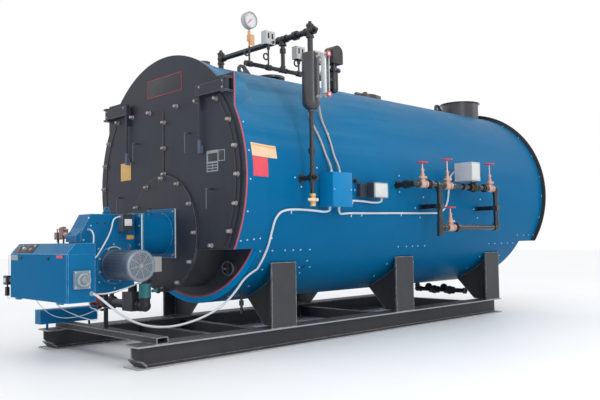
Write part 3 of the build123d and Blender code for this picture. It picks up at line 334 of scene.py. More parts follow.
def finish(name, paint, faded=None, grime=(60, 58, 56), fade=0.4, streaks=0.1, patch=0.1, dust_and_top_shade=0.2,
           dust_and_shade_tint=(150, 150, 150), reach=0.003, wear_and_highlight=0.0, rough=0.4, metal=0.0, coat=0.0, shine=0.5,
           painted_sky_reflection=0.0, grain=0.004, pits=0.0, depth=0.05, edge_tone=None, boxes=(), nodes=()):
    """A painted or metal finish; boxes holds (low, high, colour), nodes the pieces that wear it."""
    material = bpy.data.materials.new(name)
    material.use_nodes = True
    tree = material.node_tree
    bsdf = tree.nodes["Principled BSDF"]

    def effect(group, **inputs):
        labels = {label.replace("_", " "): value for label, value in inputs.items()}
        return put(tree, "Group", labels, node_tree=bpy.data.node_groups[group]).outputs

    base = tint(*paint)
    pale = tint(*faded) if faded else paler(paint, 1.12, 8)
    for low, high, other in boxes:
        mask = effect("inside a box", Low=low, High=high)["Mask"]
        base = mixed(tree, mask, base, tint(*other))
        pale = mixed(tree, mask, pale, paler(other, 1.06, 4))
    aged = effect("aged paint", Paint=base, Faded=pale, Grime=tint(*grime), Fade=fade, Streaks=streaks,
                  Patch_Size=patch)
    colour, dull = aged["Colour"], aged["Mask"]
    # A painted reflection of the sky lightens the upper front of the jacket.
    if painted_sky_reflection > 0:
        colour = effect("painted sky reflection", Colour=colour, Sky=tint(*REFLECTED_SKY), Amount=painted_sky_reflection)["Colour"]
    # Dust on faces that look up; on the jacket its dark tint is painted shade on the top.
    if dust_and_top_shade > 0:
        with_dust_and_shade = effect("dust and painted top shade", Colour=colour, Dust=tint(*dust_and_shade_tint), Amount=dust_and_top_shade)
        colour, dull = with_dust_and_shade["Colour"], calculated(tree, "MAXIMUM", dull, with_dust_and_shade["Mask"])
    # Pale edges: worn to metal on the skid, a painted highlight on every other finish.
    if wear_and_highlight > 0:
        colour = effect("worn and highlighted edges", Colour=colour, Bare=tint(*edge_tone), Reach=reach, Amount=wear_and_highlight)["Colour"]
    skin = effect("grain skin", Grain_Size=grain, Pits=pits)["Height"]
    bump = put(tree, "Bump", {"Height": skin, "Strength": depth, "Distance": BUMP_DISTANCE})
    settings = {"Base Color": colour, "Normal": bump.outputs["Normal"], "Metallic": metal,
                "Specular IOR Level": shine, "Coat Weight": coat, "Coat Roughness": COAT_ROUGHNESS,
                "Roughness": spread(tree, dull, 0.0, 1.0, rough, min(1.0, rough + DULLER))}
    for label, value in settings.items():
        feed(tree, bsdf.inputs[label], value)
    for node in nodes:
        mesh = bpy.data.objects[node].data
        mesh.materials.clear()
        mesh.materials.append(material)
        dressed.append(node)
    return material


# %% [markdown]
# Sheet and plate come first. The jacket is sprayed a deep blue, the burner a brighter one, the
# smokebox and its doors are slate grey, and the skid is black iron with bright rubbed corners.

# %% Finishes of sheet and plate
BLUE, BRIGHT, SLATE, IRON, BLACK = (0, 98, 146), (0, 100, 150), (37, 41, 53), (49, 49, 55), (27, 28, 32)
SILVER, CORD_GREY, BRONZE = (186, 188, 190), (204, 210, 216), (196, 158, 142)
WHEEL, BRASS, RED = (200, 52, 62), (214, 178, 110), (206, 62, 78)

# On the jacket the box's brighter blue is painted light on the shaded front face under the smokebox, the
# dark blue tint of what faces up is painted shade on the top, and the upper front gets a painted sky
# reflection.
finish("jacket_paint", BLUE, (8, 108, 156), (8, 78, 122), fade=0.5, streaks=0.16, patch=1.6, dust_and_top_shade=0.7,
       dust_and_shade_tint=(8, 92, 132), rough=0.30, shine=0.05, painted_sky_reflection=0.55, grain=0.006, depth=0.03,
       boxes=[((-1.4, 0.30, 0.3), (1.4, 0.3502, 0.984), (0, 146, 214))], nodes=["jacket"])
burner_paint = finish("burner_paint", BRIGHT, (10, 110, 162), (10, 70, 110), streaks=0.14, patch=0.5,
                      dust_and_top_shade=0.08, dust_and_shade_tint=(90, 140, 170), reach=0.008, wear_and_highlight=0.9, rough=0.34, shine=0.12,
                      grain=0.005, depth=0.03, edge_tone=(150, 196, 220),
                      boxes=[((-0.5, -0.98, 0.1), (0.5, -0.4, 0.60), (40, 41, 46))],
                      nodes=["fan_housing", "blast_tube", "control_cabinet", "wireway"])
finish("panel_paint", BRIGHT, (8, 108, 160), (10, 70, 110), fade=0.3, patch=0.7, dust_and_top_shade=0.0, reach=0.006,
       wear_and_highlight=0.9, rough=0.34, shine=0.02, grain=0.005, depth=0.03, edge_tone=(150, 196, 220),
       boxes=[((-0.8, -1.3, 0.90), (0.4, -1.2572, 0.96), (28, 30, 34))], nodes=["cabinet_panel"])
box_paint = finish("box_paint", (0, 122, 178), (14, 130, 184), (10, 84, 130), fade=0.3, streaks=0.08,
                   patch=0.3, dust_and_top_shade=0.08, dust_and_shade_tint=(100, 160, 195), reach=0.004, wear_and_highlight=0.5, rough=0.34,
                   shine=0.2, grain=0.005, depth=0.03, edge_tone=(110, 175, 215), nodes=["junction_box"])
SLATE_PAINT = dict(paint=SLATE, faded=(60, 64, 74), grime=(30, 31, 35), fade=0.5, streaks=0.2, patch=0.9,
                   dust_and_top_shade=0.25, dust_and_shade_tint=(96, 96, 100), shine=0.3, grain=0.006, depth=0.06)
finish("front_paint", **SLATE_PAINT, reach=0.010, wear_and_highlight=0.7, rough=0.42, edge_tone=(150, 152, 158),
       nodes=["smokebox_front", "davit_arm_right", "davit_arm_left", "furnace_cover", "tube_sheets"])
finish("door_paint", **SLATE_PAINT, reach=0.006, wear_and_highlight=0.4, rough=0.46, edge_tone=(110, 112, 118),
       boxes=[((-2, -0.2, 1.0), (2, -0.062, 2.3), (84, 90, 102)),
              ((0.64, -0.06, 1.90), (0.70, -0.02, 2.03), (80, 92, 116)),
              ((-0.70, -0.06, 1.90), (-0.64, -0.02, 2.03), (80, 92, 116))],
       nodes=["door_right", "door_left"])
finish("iron_paint", IRON, (78, 78, 82), (40, 39, 40), fade=0.5, streaks=0.25, patch=0.6, dust_and_top_shade=0.35,
       dust_and_shade_tint=(126, 125, 127), reach=0.014, wear_and_highlight=1.0, rough=0.55, grain=0.008, pits=0.2, depth=0.12,
       edge_tone=(196, 196, 200), nodes=["skid_rails", "skid_cross_members", "saddles"])
finish("drum_paint", (44, 45, 50), (58, 58, 62), (34, 32, 32), streaks=0.3, patch=0.4, dust_and_top_shade=0.3,
       dust_and_shade_tint=(96, 96, 98), reach=0.006, wear_and_highlight=0.4, rough=0.5, grain=0.008, pits=0.2, depth=0.1,
       edge_tone=(100, 100, 104),
       nodes=["furnace_drum", "pressure_shell", "rear_smokebox_plate", "rear_access_cover",
              "handhole_covers"])
print("sheet and plate", dressed)

# %% [markdown]
# Pipes and valves come next. Cast iron is a little paler and grainier than pipe, bronze darkens in
# patches, and the wheels are dipped in red enamel above a bright stem.

# %% Finishes of pipes and valves
finish("pipe_black", BLACK, (52, 53, 57), (58, 46, 40), fade=0.5, streaks=0.25, patch=0.12, dust_and_top_shade=0.35,
       dust_and_shade_tint=(92, 92, 94), reach=0.004, wear_and_highlight=0.35, rough=0.22, metal=0.2, shine=0.7, grain=0.006,
       pits=0.2, depth=0.08, edge_tone=(112, 110, 110),
       nodes=["equalizing_header", "feedwater_piping", "column_drain_pipe", "blowdown_piping",
              "low_water_control"])
finish("cast_black", (44, 44, 49), (62, 62, 67), (54, 44, 40), fade=0.5, streaks=0.2, patch=0.2, dust_and_top_shade=0.35,
       dust_and_shade_tint=(92, 92, 94), reach=0.005, wear_and_highlight=0.3, rough=0.22, shine=0.7, grain=0.007, pits=0.3,
       depth=0.12, edge_tone=(104, 104, 106),
       nodes=["stack_collar", "top_fittings", "steam_nozzle", "water_column", "pipe_brackets"])
bronze = finish("valve_bronze", BRONZE, (214, 184, 168), (120, 84, 66), fade=0.6, streaks=0.3, patch=0.06,
                dust_and_top_shade=0.15, wear_and_highlight=0.5, rough=0.36, metal=0.35, pits=0.4, depth=0.15, edge_tone=(226, 200, 180),
                nodes=["feedwater_valves"])
finish("drain_brass", BRASS, (230, 200, 150), (140, 100, 60), fade=0.5, streaks=0.2, patch=0.05, dust_and_top_shade=0.1,
       wear_and_highlight=0.5, rough=0.3, metal=0.5, pits=0.2, depth=0.1, edge_tone=(240, 220, 180), nodes=["drain_valve"])
finish("lever_plate", (222, 206, 190), (232, 220, 208), (150, 120, 100), streaks=0.2, patch=0.05, dust_and_top_shade=0.0,
       rough=0.34, metal=0.4, nodes=["drain_valve_lever"])
WHEELS = (("inner", 2.370, 1.655, 0.238), ("middle", 2.850, 1.655, 0.300),
          ("outer", 3.770, 1.655, 0.305), ("bypass", 2.890, 1.172, 0.232))
for wheel, y, z, rise in WHEELS:
    low, high = (1.40, y - 0.1, z + 0.05), (1.60, y + 0.1, z + rise - 0.012)
    finish("wheel_red_" + wheel, WHEEL, (214, 84, 88), (120, 30, 34), patch=0.05, dust_and_top_shade=0.15,
           dust_and_shade_tint=(200, 150, 150), rough=0.38, coat=0.2, depth=0.06,
           boxes=[(low, high, (206, 196, 188))], nodes=["handwheel_" + wheel])
print("with pipes and valves", len(dressed))

# %% [markdown]
# Motors, boxes and instruments each carry a second colour or more in boxes: a pale motor cover, a
# grey horn, a red lamp.

# %% Finishes of motors, boxes and instruments
motor_grey = finish("motor_grey", (88, 102, 120), (118, 130, 145), (60, 62, 66), fade=0.5, streaks=0.2,
                    patch=0.2, dust_and_top_shade=0.25, dust_and_shade_tint=(150, 156, 160), reach=0.004, wear_and_highlight=0.5, metal=0.25,
                    grain=0.006, pits=0.2, depth=0.12, edge_tone=(150, 158, 166),
                    boxes=[((0.40, -0.55, 0.70), (0.60, -0.38, 0.95), (158, 158, 154))],
                    nodes=["fan_motor"])
cowl_grey = finish("cowl_grey", (124, 136, 150), (160, 170, 180), (90, 96, 104), dust_and_top_shade=0.1, rough=0.30,
                   metal=0.3, grain=0.005)
box_grey = finish("box_grey", (150, 152, 152), (170, 172, 172), (100, 98, 96), streaks=0.15, dust_and_top_shade=0.15,
                  dust_and_shade_tint=(180, 180, 178), wear_and_highlight=0.4, rough=0.42, metal=0.1, grain=0.005, depth=0.06,
                  edge_tone=(200, 200, 198))
finish("actuator_grey", BLACK, (52, 53, 57), (58, 46, 40), streaks=0.15, dust_and_top_shade=0.25,
       dust_and_shade_tint=(130, 130, 130), reach=0.004, wear_and_highlight=0.4, rough=0.42, metal=0.2, grain=0.006, pits=0.2,
       depth=0.08, edge_tone=(160, 160, 160), boxes=[((1.37, 3.18, 1.72), (1.62, 3.375, 1.95), (188, 192, 196))],
       nodes=["feedwater_control_valve"])
finish("relay_finish", (48, 54, 66), (58, 64, 76), (40, 40, 44), fade=0.3, patch=0.2, wear_and_highlight=0.4,
       edge_tone=(150, 154, 160), boxes=[((1.392, 1.6, 1.4), (1.5, 1.9, 1.7), (196, 198, 198))],
       nodes=["relay_box"])
finish("control_grey", (44, 44, 48), (60, 60, 64), (60, 48, 44), wear_and_highlight=0.3, depth=0.06, edge_tone=(150, 150, 150),
       boxes=[((0.97, 0.4, 2.985), (1.06, 0.7, 3.13), (182, 184, 186)),
              ((0.97, 0.8, 2.905), (1.06, 1.3, 3.05), (182, 184, 186))],
       nodes=["pressure_controls"])
finish("devices_finish", (60, 62, 66), (72, 74, 78), fade=0.3, wear_and_highlight=0.3, rough=0.42, edge_tone=(150, 150, 150),
       boxes=[((0.40, -1.3, 0.6), (0.5, -0.9, 0.9), (128, 146, 160))], nodes=["cabinet_devices"])
finish("gas_paint", (44, 44, 48), (60, 60, 64), (70, 40, 36), fade=0.5, streaks=0.25, patch=0.15, dust_and_top_shade=0.35,
       dust_and_shade_tint=(100, 100, 102), reach=0.005, wear_and_highlight=0.4, rough=0.46, metal=0.1, grain=0.006, pits=0.3,
       depth=0.15, edge_tone=(120, 120, 122),
       boxes=[((-0.08, -0.34, 0.512), (0.08, -0.14, 0.652), (48, 128, 136)),
              ((-0.965, -0.4, 0.3), (-0.885, -0.1, 0.5), (158, 46, 56)),
              ((-0.34, -0.31, 0.36), (-0.13, -0.17, 0.57), (66, 68, 72))],
       nodes=["gas_train"])
finish("guard_silver", SILVER, (206, 208, 210), (120, 120, 122), streaks=0.15, patch=0.06, dust_and_top_shade=0.1,
       rough=0.3, metal=0.5, depth=0.04,
       boxes=[((1.636, 0.6, 2.3), (1.7, 0.9, 2.9), (196, 84, 84)),
              ((1.640, 0.727, 2.410), (1.7, 0.753, 2.436), (226, 222, 220)),
              ((1.640, 0.727, 2.795), (1.7, 0.753, 2.821), (226, 222, 220)),
              ((1.583, 0.727, 2.41), (1.607, 0.753, 2.83), (222, 226, 228))],
       nodes=["gauge_glass"])
finish("gauge_case", (36, 36, 40), (50, 50, 54), fade=0.3, wear_and_highlight=0.3, rough=0.36, depth=0.04,
       edge_tone=(140, 140, 140),
       boxes=[((0.9, 0.20, 3.095), (1.1, 0.40, 3.30), (170, 173, 175)),
              ((0.9, 0.26, 2.93), (1.1, 0.36, 3.09), (206, 158, 112))],
       nodes=["pressure_gauge"])
finish("servo_paint", (32, 34, 38), (44, 46, 50), fade=0.3, wear_and_highlight=0.3, edge_tone=(120, 124, 130),
       boxes=[((0.11, -0.62, 1.1), (0.213, -0.6035, 1.4), (92, 104, 118))], nodes=["damper_motor"])
finish("linkage_finish", (120, 102, 98), (176, 150, 144), (60, 44, 40), fade=0.6, streaks=0.3, patch=0.05,
       wear_and_highlight=0.5, metal=0.4, pits=0.2, depth=0.1, edge_tone=(170, 160, 156), nodes=["fuel_linkage"])
finish("conduit_skin", CORD_GREY, (224, 230, 236), (150, 152, 156), streaks=0.12, patch=0.2, dust_and_top_shade=0.0,
       rough=0.42, grain=0.003, boxes=[((1.0, 0.9, 1.74), (1.6, 1.3, 3.1), (172, 170, 168))],
       nodes=["side_conduits"])
print("dressed", len(dressed), "of", len(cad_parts), "pieces; the cords come later")

# %% [markdown]
# The hardware that this lesson adds needs a few finishes of its own.

# %% Finishes of hardware and labels
bolt_steel = finish("bolt_steel", (150, 142, 140), (190, 182, 180), (96, 80, 76), fade=0.5, streaks=0.25,
                    patch=0.03, dust_and_top_shade=0.0, rough=0.34, metal=0.45, grain=0.002, depth=0.04)
screw_white = finish("screw_white", (190, 212, 226), (216, 228, 236), (150, 160, 170), patch=0.05, dust_and_top_shade=0.0,
                     rough=0.3, metal=0.3, depth=0.02)
bead_red = finish("bead_red", RED, (222, 96, 106), (130, 40, 50), fade=0.5, patch=0.2, dust_and_top_shade=0.1,
                  dust_and_shade_tint=(190, 130, 130), rough=0.5, depth=0.04)
cord_skin = finish("cord_skin", CORD_GREY, (224, 230, 236), (150, 152, 156), streaks=0.12, patch=0.2,
                   dust_and_top_shade=0.0, rough=0.42, coat=0.1, grain=0.003)
fitting_zinc = finish("fitting_zinc", (186, 190, 194), (206, 210, 214), (110, 110, 112), streaks=0.2,
                      patch=0.03, dust_and_top_shade=0.0, rough=0.34, metal=0.6)
knob_black = finish("knob_black", (26, 27, 30), (40, 40, 44), fade=0.3, streaks=0.05, patch=0.05, dust_and_top_shade=0.15,
                    dust_and_shade_tint=(90, 90, 92), rough=0.38)
label_paper = {}
for label, colour in (("cream", (224, 190, 154)), ("rose", (216, 66, 84)), ("yellow", (204, 164, 92)),
                      ("silver", (136, 144, 156)), ("dark", (34, 38, 46)), ("white", (200, 204, 206)),
                      ("orange", (226, 160, 80)), ("signal", (206, 60, 74))):
    label_paper[label] = finish("label_" + label, colour, fade=0.3, streaks=0.08, patch=0.08, dust_and_top_shade=0.0,
                                rough=0.45, depth=0.02)
print("finishes", len(bpy.data.materials))

# %% [markdown]
# ## Free cords
# Six flexible conduits hang between the burner, its cabinet and the jacket. Each leaves straight
# out of its connector, sags under its own weight and turns back up. A cord is one smooth line: a
# spline that bends gently past its points looks like cable, where straight runs look like wire.


# %% Cords
def round_y(degrees):
    """A direction square to Y, by its angle above +X."""
    return Vector((math.cos(math.radians(degrees)), 0, math.sin(math.radians(degrees))))


def round_x(degrees):
    """A direction square to X, by its angle above +Y."""
    return Vector((0, math.cos(math.radians(degrees)), math.sin(math.radians(degrees))))


def cord(name, node, points, radius, length):
    """A free cord that stands for a ready-made one and hangs from its first point."""
    curve = bpy.data.curves.new(name, "CURVE")
    curve.dimensions = "3D"
    curve.bevel_depth, curve.bevel_resolution, curve.resolution_u = radius, 4, 10
    curve.use_fill_caps = True
    spline = curve.splines.new("NURBS")
    spline.points.add(len(points) - 1)
    for place, (x, y, z) in zip(spline.points, points):
        place.co = (x, y, z, 1.0)
    spline.order_u = 3
    spline.use_endpoint_u = True
    curve.materials.append(cord_skin)
    obj = bpy.data.objects.new(name, curve)
    bpy.context.collection.objects.link(obj)
    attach(obj, "boiler")
    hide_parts(node)
    print(name, "is", length, "m long")


CONDUIT_R, THIN_R, WIRE_R, FINE_R = 0.011, 0.007, 0.007 * 0.57, 0.007 * 0.43
AXIS_Z, JACKET_R = 1.665, 1.250
CONDUIT_LIFT, LOOP_TURN, LOOP_END_Y, LOOP_LEAD = 0.015, -45.4, 0.424, 0.095
loop_way = round_y(LOOP_TURN + 90) * 0.75 + BACK * 0.66
loop_end = Vector((0, LOOP_END_Y, AXIS_Z)) + round_y(LOOP_TURN) * (JACKET_R + CONDUIT_LIFT)
cord("loop_cord", "loop_conduit", [
    (0.402, -1.022, 0.620), (0.440, -1.022, 0.620), (0.470, -0.982, 0.588), (0.498, -0.900, 0.508),
    (0.524, -0.800, 0.422), (0.552, -0.680, 0.346), (0.582, -0.540, 0.299), (0.618, -0.390, 0.284),
    (0.660, -0.240, 0.298), (0.704, -0.090, 0.338), (0.744, 0.046, 0.396), (0.780, 0.164, 0.474),
    (0.808, 0.268, 0.580), tuple(loop_end - loop_way * LOOP_LEAD), tuple(loop_end),
], CONDUIT_R, 1.82)
cord("motor_cord", "motor_conduit", [
    (0.385, -0.988, 0.612), (0.386, -0.942, 0.612), (0.404, -0.886, 0.612), (0.426, -0.810, 0.624),
    (0.442, -0.722, 0.648), (0.454, -0.636, 0.675), (0.468, -0.566, 0.700), (0.484, -0.510, 0.728),
    (0.497, -0.474, 0.758), (0.497, -0.474, 0.790),
], THIN_R, 0.58)
cord("servo_cord", "servo_conduit", [
    (0.167, -0.605, 1.305), (0.167, -0.638, 1.305), (0.172, -0.672, 1.288), (0.182, -0.696, 1.256),
    (0.200, -0.712, 1.214), (0.222, -0.742, 1.162), (0.250, -0.785, 1.105), (0.280, -0.842, 1.040),
    (0.306, -0.892, 0.985), (0.322, -0.934, 0.940), (0.326, -0.962, 0.925), (0.326, -0.988, 0.925),
], THIN_R, 0.59)
cord("housing_cord", "housing_conduit", [
    (0.120, -0.907, 1.186), (0.154, -0.907, 1.186), (0.188, -0.905, 1.170), (0.211, -0.904, 1.141),
    (0.222, -0.907, 1.104), (0.228, -0.914, 1.060), (0.231, -0.930, 1.018), (0.233, -0.958, 0.980),
    (0.233, -0.988, 0.980),
], THIN_R, 0.31)
cord("cabinet_loop_cord", "cabinet_loop", [
    (-0.262, -1.045, 0.547), (-0.262, -1.045, 0.516), (-0.236, -1.040, 0.488), (-0.170, -1.031, 0.461),
    (-0.066, -1.026, 0.438), (0.050, -1.020, 0.420), (0.164, -1.019, 0.406), (0.278, -1.018, 0.397),
    (0.388, -1.018, 0.391), (0.476, -1.018, 0.392), (0.506, -1.018, 0.420), (0.507, -1.018, 0.460),
    (0.478, -1.018, 0.486), (0.440, -1.019, 0.492), (0.402, -1.020, 0.494), (0.372, -1.020, 0.503),
    (0.354, -1.020, 0.521), (0.354, -1.020, 0.547),
], WIRE_R, 1.06)
cord("leg_cord", "leg_wire", [
    (-0.655, -1.055, 0.547), (-0.655, -1.055, 0.512), (-0.618, -1.053, 0.484), (-0.552, -1.051, 0.455),
    (-0.480, -1.050, 0.426), (-0.404, -1.048, 0.403), (-0.322, -1.045, 0.386), (-0.236, -1.039, 0.376),
    (-0.156, -1.022, 0.371), (-0.090, -0.978, 0.373), (-0.044, -0.914, 0.384), (-0.018, -0.848, 0.402),
    (-0.010, -0.780, 0.429), (-0.010, -0.715, 0.429),
], FINE_R, 0.93)

# %% [markdown]
# ## A small workbench
# The rest is hardware: bolts, rings, plates and knobs. Each helper adds one shape to an open
# bmesh, so that a whole family of bolts ends up as one piece. Turned parts are a profile spun
# about an axis, the way a lathe makes them.


# %% Turned shapes
def turned(at, axis):
    """The matrix that stands +Z along an axis at a place."""
    return Matrix.Translation(at) @ Vector(axis).to_track_quat("Z", "Y").to_matrix().to_4x4()


def edges_of(verts):
    """The edges that touch some vertices, each one once."""
    return list(dict.fromkeys(edge for v in verts for edge in v.link_edges))


def spun(bm, verts, edges, at, axis, steps, angle, cap=False):
    """Spin verts and edges about Z, then stand what comes of it along an axis at a place."""
    before = set(bm.verts) - set(verts)
    bmesh.ops.spin(bm, geom=verts + edges, cent=(0, 0, 0), axis=(0, 0, 1), angle=angle, steps=steps,
                   use_merge=angle == FULL_TURN)
    made = [v for v in bm.verts if v not in before]
    if cap:
        own = set(made)
        bmesh.ops.holes_fill(bm, edges=[e for e in bm.edges if e.is_boundary and e.verts[0] in own])
    bmesh.ops.transform(bm, matrix=turned(at, axis), verts=made)
    return made


def lathe(bm, profile, at, axis, steps=24, angle=FULL_TURN):
    """Spin a profile of (radius, height) pairs about an axis through a place."""
    verts = [bm.verts.new((radius, 0, height)) for radius, height in profile]
    edges = [bm.edges.new(pair) for pair in zip(verts, verts[1:])]
    return spun(bm, verts, edges, at, axis, steps, angle)


def hoop(bm, at, axis, radius, thick, steps=48, angle=FULL_TURN, start=0.0):
    """A round bar bent to a ring, or to part of one."""
    circle = bmesh.ops.create_circle(bm, cap_ends=False, segments=8, radius=thick)["verts"]
    bmesh.ops.transform(bm, matrix=Matrix.Rotation(start, 4, "Z") @ Matrix.Translation((radius, 0, 0))
                        @ Matrix.Rotation(math.pi / 2, 4, "X"), verts=circle)
    return spun(bm, circle, edges_of(circle), at, axis, steps, angle, cap=angle != FULL_TURN)


# %% [markdown]
# Bolts and screws are turned washers and heads. Only a bolt's head has six sides, so it starts as
# a cone with six segments and two equal ends, and its rim is bevelled.


# %% Bolts and screws
def hexagon(bm, at, axis, radius, height):
    """A bolt head with its rim bevelled."""
    middle = turned(at + axis * height / 2, axis)
    verts = bmesh.ops.create_cone(bm, cap_ends=True, segments=6, radius1=radius, radius2=radius,
                                  depth=height, matrix=middle)["verts"]
    rim = [e for e in edges_of(verts) if all((v.co - at).dot(axis) > height * 0.9 for v in e.verts)]
    bmesh.ops.bevel(bm, geom=rim, offset=radius * 0.15, affect="EDGES", segments=2, profile=0.5, material=-1)


def bolt(bm, at, axis, size, height):
    """A hexagon head on a round washer; size is half the head's width."""
    at, washer = Vector(at), size * 1.35
    lathe(bm, [(0, 0), (washer, 0), (washer, height * 0.18), (size, height * 0.26), (0, height * 0.26)],
          at, axis, 14)
    hexagon(bm, at + axis * height * 0.22, axis, size, height * 0.78)


def clamp_nut(bm, at, axis, size, height):
    """A long rounded nut that clamps a door from outside."""
    foot = size * 1.25
    lathe(bm, [(0, 0), (foot, 0), (foot, height * 0.14), (size, height * 0.2), (size, height * 0.8),
               (size * 0.75, height), (0, height)], at, axis, 14)


def screw(bm, at, axis, radius, height):
    """A small round head."""
    lathe(bm, [(0, 0), (radius, 0), (radius * 0.85, height * 0.7), (radius * 0.4, height), (0, height)],
          at, axis, 8)


# %% [markdown]
# Plates are blocks with a fine bevel, because an edge with none catches no light. Parts made
# apart, and bands about the boiler's axis, are moved to their place by a matrix.


# %% Blocks, bars and bands
def slab(bm, low, high, bevel=0.0):
    """A block between two corners, with its edges bevelled."""
    low, high = Vector(low), Vector(high)
    size = high - low
    matrix = Matrix.Translation((low + high) / 2) @ Matrix.Diagonal((*size, 1))
    made = bmesh.ops.create_cube(bm, size=1.0, matrix=matrix)["verts"]
    if bevel:
        bmesh.ops.bevel(bm, geom=edges_of(made), offset=bevel, affect="EDGES", segments=2, profile=0.5,
                        material=-1)


def bar(bm, start, end, radius, sides=12):
    """A round bar between two points."""
    start, end = Vector(start), Vector(end)
    bmesh.ops.create_cone(bm, cap_ends=True, segments=sides, radius1=radius, radius2=radius,
                          depth=(end - start).length, matrix=turned((start + end) / 2, end - start))


def arc_band(bm, side, section, low, high, steps=60):
    """Spin a section of (radius, y) points about the boiler's axis, between two angles above level."""
    made = lathe(bm, [(radius, -y) for radius, y in section], (0, 0, 0), AHEAD, steps, high - low)
    onto_axis = Matrix.Translation((0, 0, AXIS_Z)) @ Matrix.Rotation(-low, 4, "Y")
    bmesh.ops.transform(bm, matrix=onto_axis, verts=made)
    bmesh.ops.scale(bm, vec=(side, 1, 1), verts=made)


def add_part(bm, part, matrix):
    """Put a small bmesh into a larger one, moved by a matrix."""
    bmesh.ops.transform(part, matrix=matrix, verts=part.verts)
    mesh = bpy.data.meshes.new("part")
    part.to_mesh(mesh)
    part.free()
    bm.from_mesh(mesh)
    bpy.data.meshes.remove(mesh)


# %% [markdown]
# A piece is done when its doubled points are merged, its normals point outwards, its smooth faces
# break at sharp edges, and it rides on the body that carries it.

# %% Finished pieces
SHARP_DEGREES = 32


def piece(name, bm, material, body="boiler"):
    """Close a bmesh into a finished piece that rides on a body."""
    bmesh.ops.remove_doubles(bm, verts=bm.verts, dist=1e-5)
    bmesh.ops.recalc_face_normals(bm, faces=bm.faces)
    mesh = bpy.data.meshes.new(name)
    bm.to_mesh(mesh)
    bm.free()
    mesh.materials.append(material)
    mesh.polygons.foreach_set("use_smooth", [True] * len(mesh.polygons))
    mesh.set_sharp_from_angle(angle=math.radians(SHARP_DEGREES))
    obj = bpy.data.objects.new(name, mesh)
    bpy.context.collection.objects.link(obj)
    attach(obj, body)
    print(name, "faces", len(mesh.polygons))


def fixings(name, shape, places, axis, size, height, material=bolt_steel, body="boiler"):
    """One piece made of the same bolt, nut or screw at many places."""
    bm = bmesh.new()
    for at in places:
        shape(bm, at, axis, size, height)
    piece(name, bm, material, body)


# %% [markdown]
# ## The smokebox doors
# Each half-round door is clamped by long rounded nuts, a row along the top and a ring round the
# edge. Measured places go in a list, and the left leaf gets the mirror image. Three more down the
# middle seam are all on the right-hand leaf.

# %% Door bolts
DOOR_FACE, COVER_FACE = -0.014, -0.035
NUT_RING_R, NUT_R, SEAM_NUT_R, NUT_LONG = 1.206, 0.018, 0.017, 0.046
SIDES = ((1, "right"), (-1, "left"))
door_places = [(0.25, 2.418), (0.59, 2.418), (0.90, 2.400), (0.81, 1.022)]
for way in map(round_y, (25.1, 12.6, 0.0, -12.6, -25.2)):
    door_places.append((NUT_RING_R * way.x, AXIS_Z + NUT_RING_R * way.z))
for side, name in SIDES:
    bm = bmesh.new()
    for x, z in door_places:
        clamp_nut(bm, (side * x, DOOR_FACE, z), AHEAD, NUT_R, NUT_LONG)
    if side == 1:
        for z in (2.283, 2.018, 1.752):
            clamp_nut(bm, (0.024, DOOR_FACE, z), AHEAD, SEAM_NUT_R, NUT_LONG)
    piece(f"door_bolts_{name}", bm, bolt_steel, f"door_{name}")

# %% [markdown]
# Just inside the ring of nuts a dark strip paints the shadow along the edge of each leaf, and
# another paints the shadow in the middle seam. The arc is a shallow section spun about the
# boiler's axis.

# %% Painted shadows on the door edges
SHADOW_STRIP = ((1.166, 0), (1.166, 0.004), (1.172, 0.007), (1.182, 0.007), (1.188, 0.004), (1.188, 0),
         (1.166, 0))
section = [(radius, DOOR_FACE - lift) for radius, lift in SHADOW_STRIP]
for side, name in SIDES:
    bm = bmesh.new()
    arc_band(bm, side, section, math.radians(-33), math.radians(36))
    if side == 1:
        slab(bm, (-0.011, DOOR_FACE - 0.005, 1.712), (0.013, DOOR_FACE, 2.400), 0.001)
    piece(f"door_edge_shadow_{name}", bm, knob_black, f"door_{name}")

# %% [markdown]
# ## Furnace cover, burner plate and front trim
# Twelve bolts hold the round furnace cover, a dark ring paints the shadow in the gap round its
# upper edge, and four bolts hold the burner's square plate.

# %% Cover and burner plate
FURNACE = Vector((0.0, COVER_FACE, 1.147))
COVER_R, COVER_BOLTS_R, COVER_LOW, GAP_SHADOW_Y = 0.593, 0.562, math.radians(14), -0.0158
cover_places = [FURNACE + round_y(angle) * COVER_BOLTS_R for angle in range(0, 360, 30)]
fixings("cover_bolts", clamp_nut, cover_places, AHEAD, 0.017, 0.040)

# A dark ring paints the shadow in the gap round the cover's upper edge.
bm = bmesh.new()
hoop(bm, (0, GAP_SHADOW_Y, FURNACE.z), AHEAD, COVER_R + 0.003, 0.0045, 90, math.pi + 2 * COVER_LOW, -COVER_LOW)
piece("cover_gap_shadow", bm, knob_black)

PLATE_BOLTS = (-0.215, 0.215)
plate_places = [(x, COVER_FACE - 0.012, FURNACE.z + z) for x in PLATE_BOLTS for z in PLATE_BOLTS]
fixings("burner_plate_bolts", bolt, plate_places, AHEAD, 0.010, 0.016)

# %% [markdown]
# A bead is a thin round bar bent to an arc. It closes the jacket against the tube sheet and is
# seen below the smokebox, from one corner of its floor round to the other.

# %% Lower bead
FLOOR_Z, BEAD_R, SHEET_Y = 0.985, 1.180, 0.350
corner_turn = math.acos((AXIS_Z - FLOOR_Z) / BEAD_R)
bm = bmesh.new()
hoop(bm, (0, SHEET_Y, AXIS_Z), AHEAD, BEAD_R, 0.007, 90, 2 * corner_turn, -math.pi / 2 - corner_turn)
piece("sheet_bead", bm, bead_red)

# %% [markdown]
# ## Davits
# A swinging arm carries each door by its hanger bar. The arm gets the pale heads of its pins, and
# they ride with the arm.

# %% Davit hardware
for side, name in SIDES:
    pins = [(side * x, -0.070, z) for x, z in ((0.700, 2.530), (1.060, 2.475), (1.060, 2.535))]
    fixings(f"davit_bolts_{name}", bolt, pins, AHEAD, 0.009, 0.010, body=f"davit_{name}")

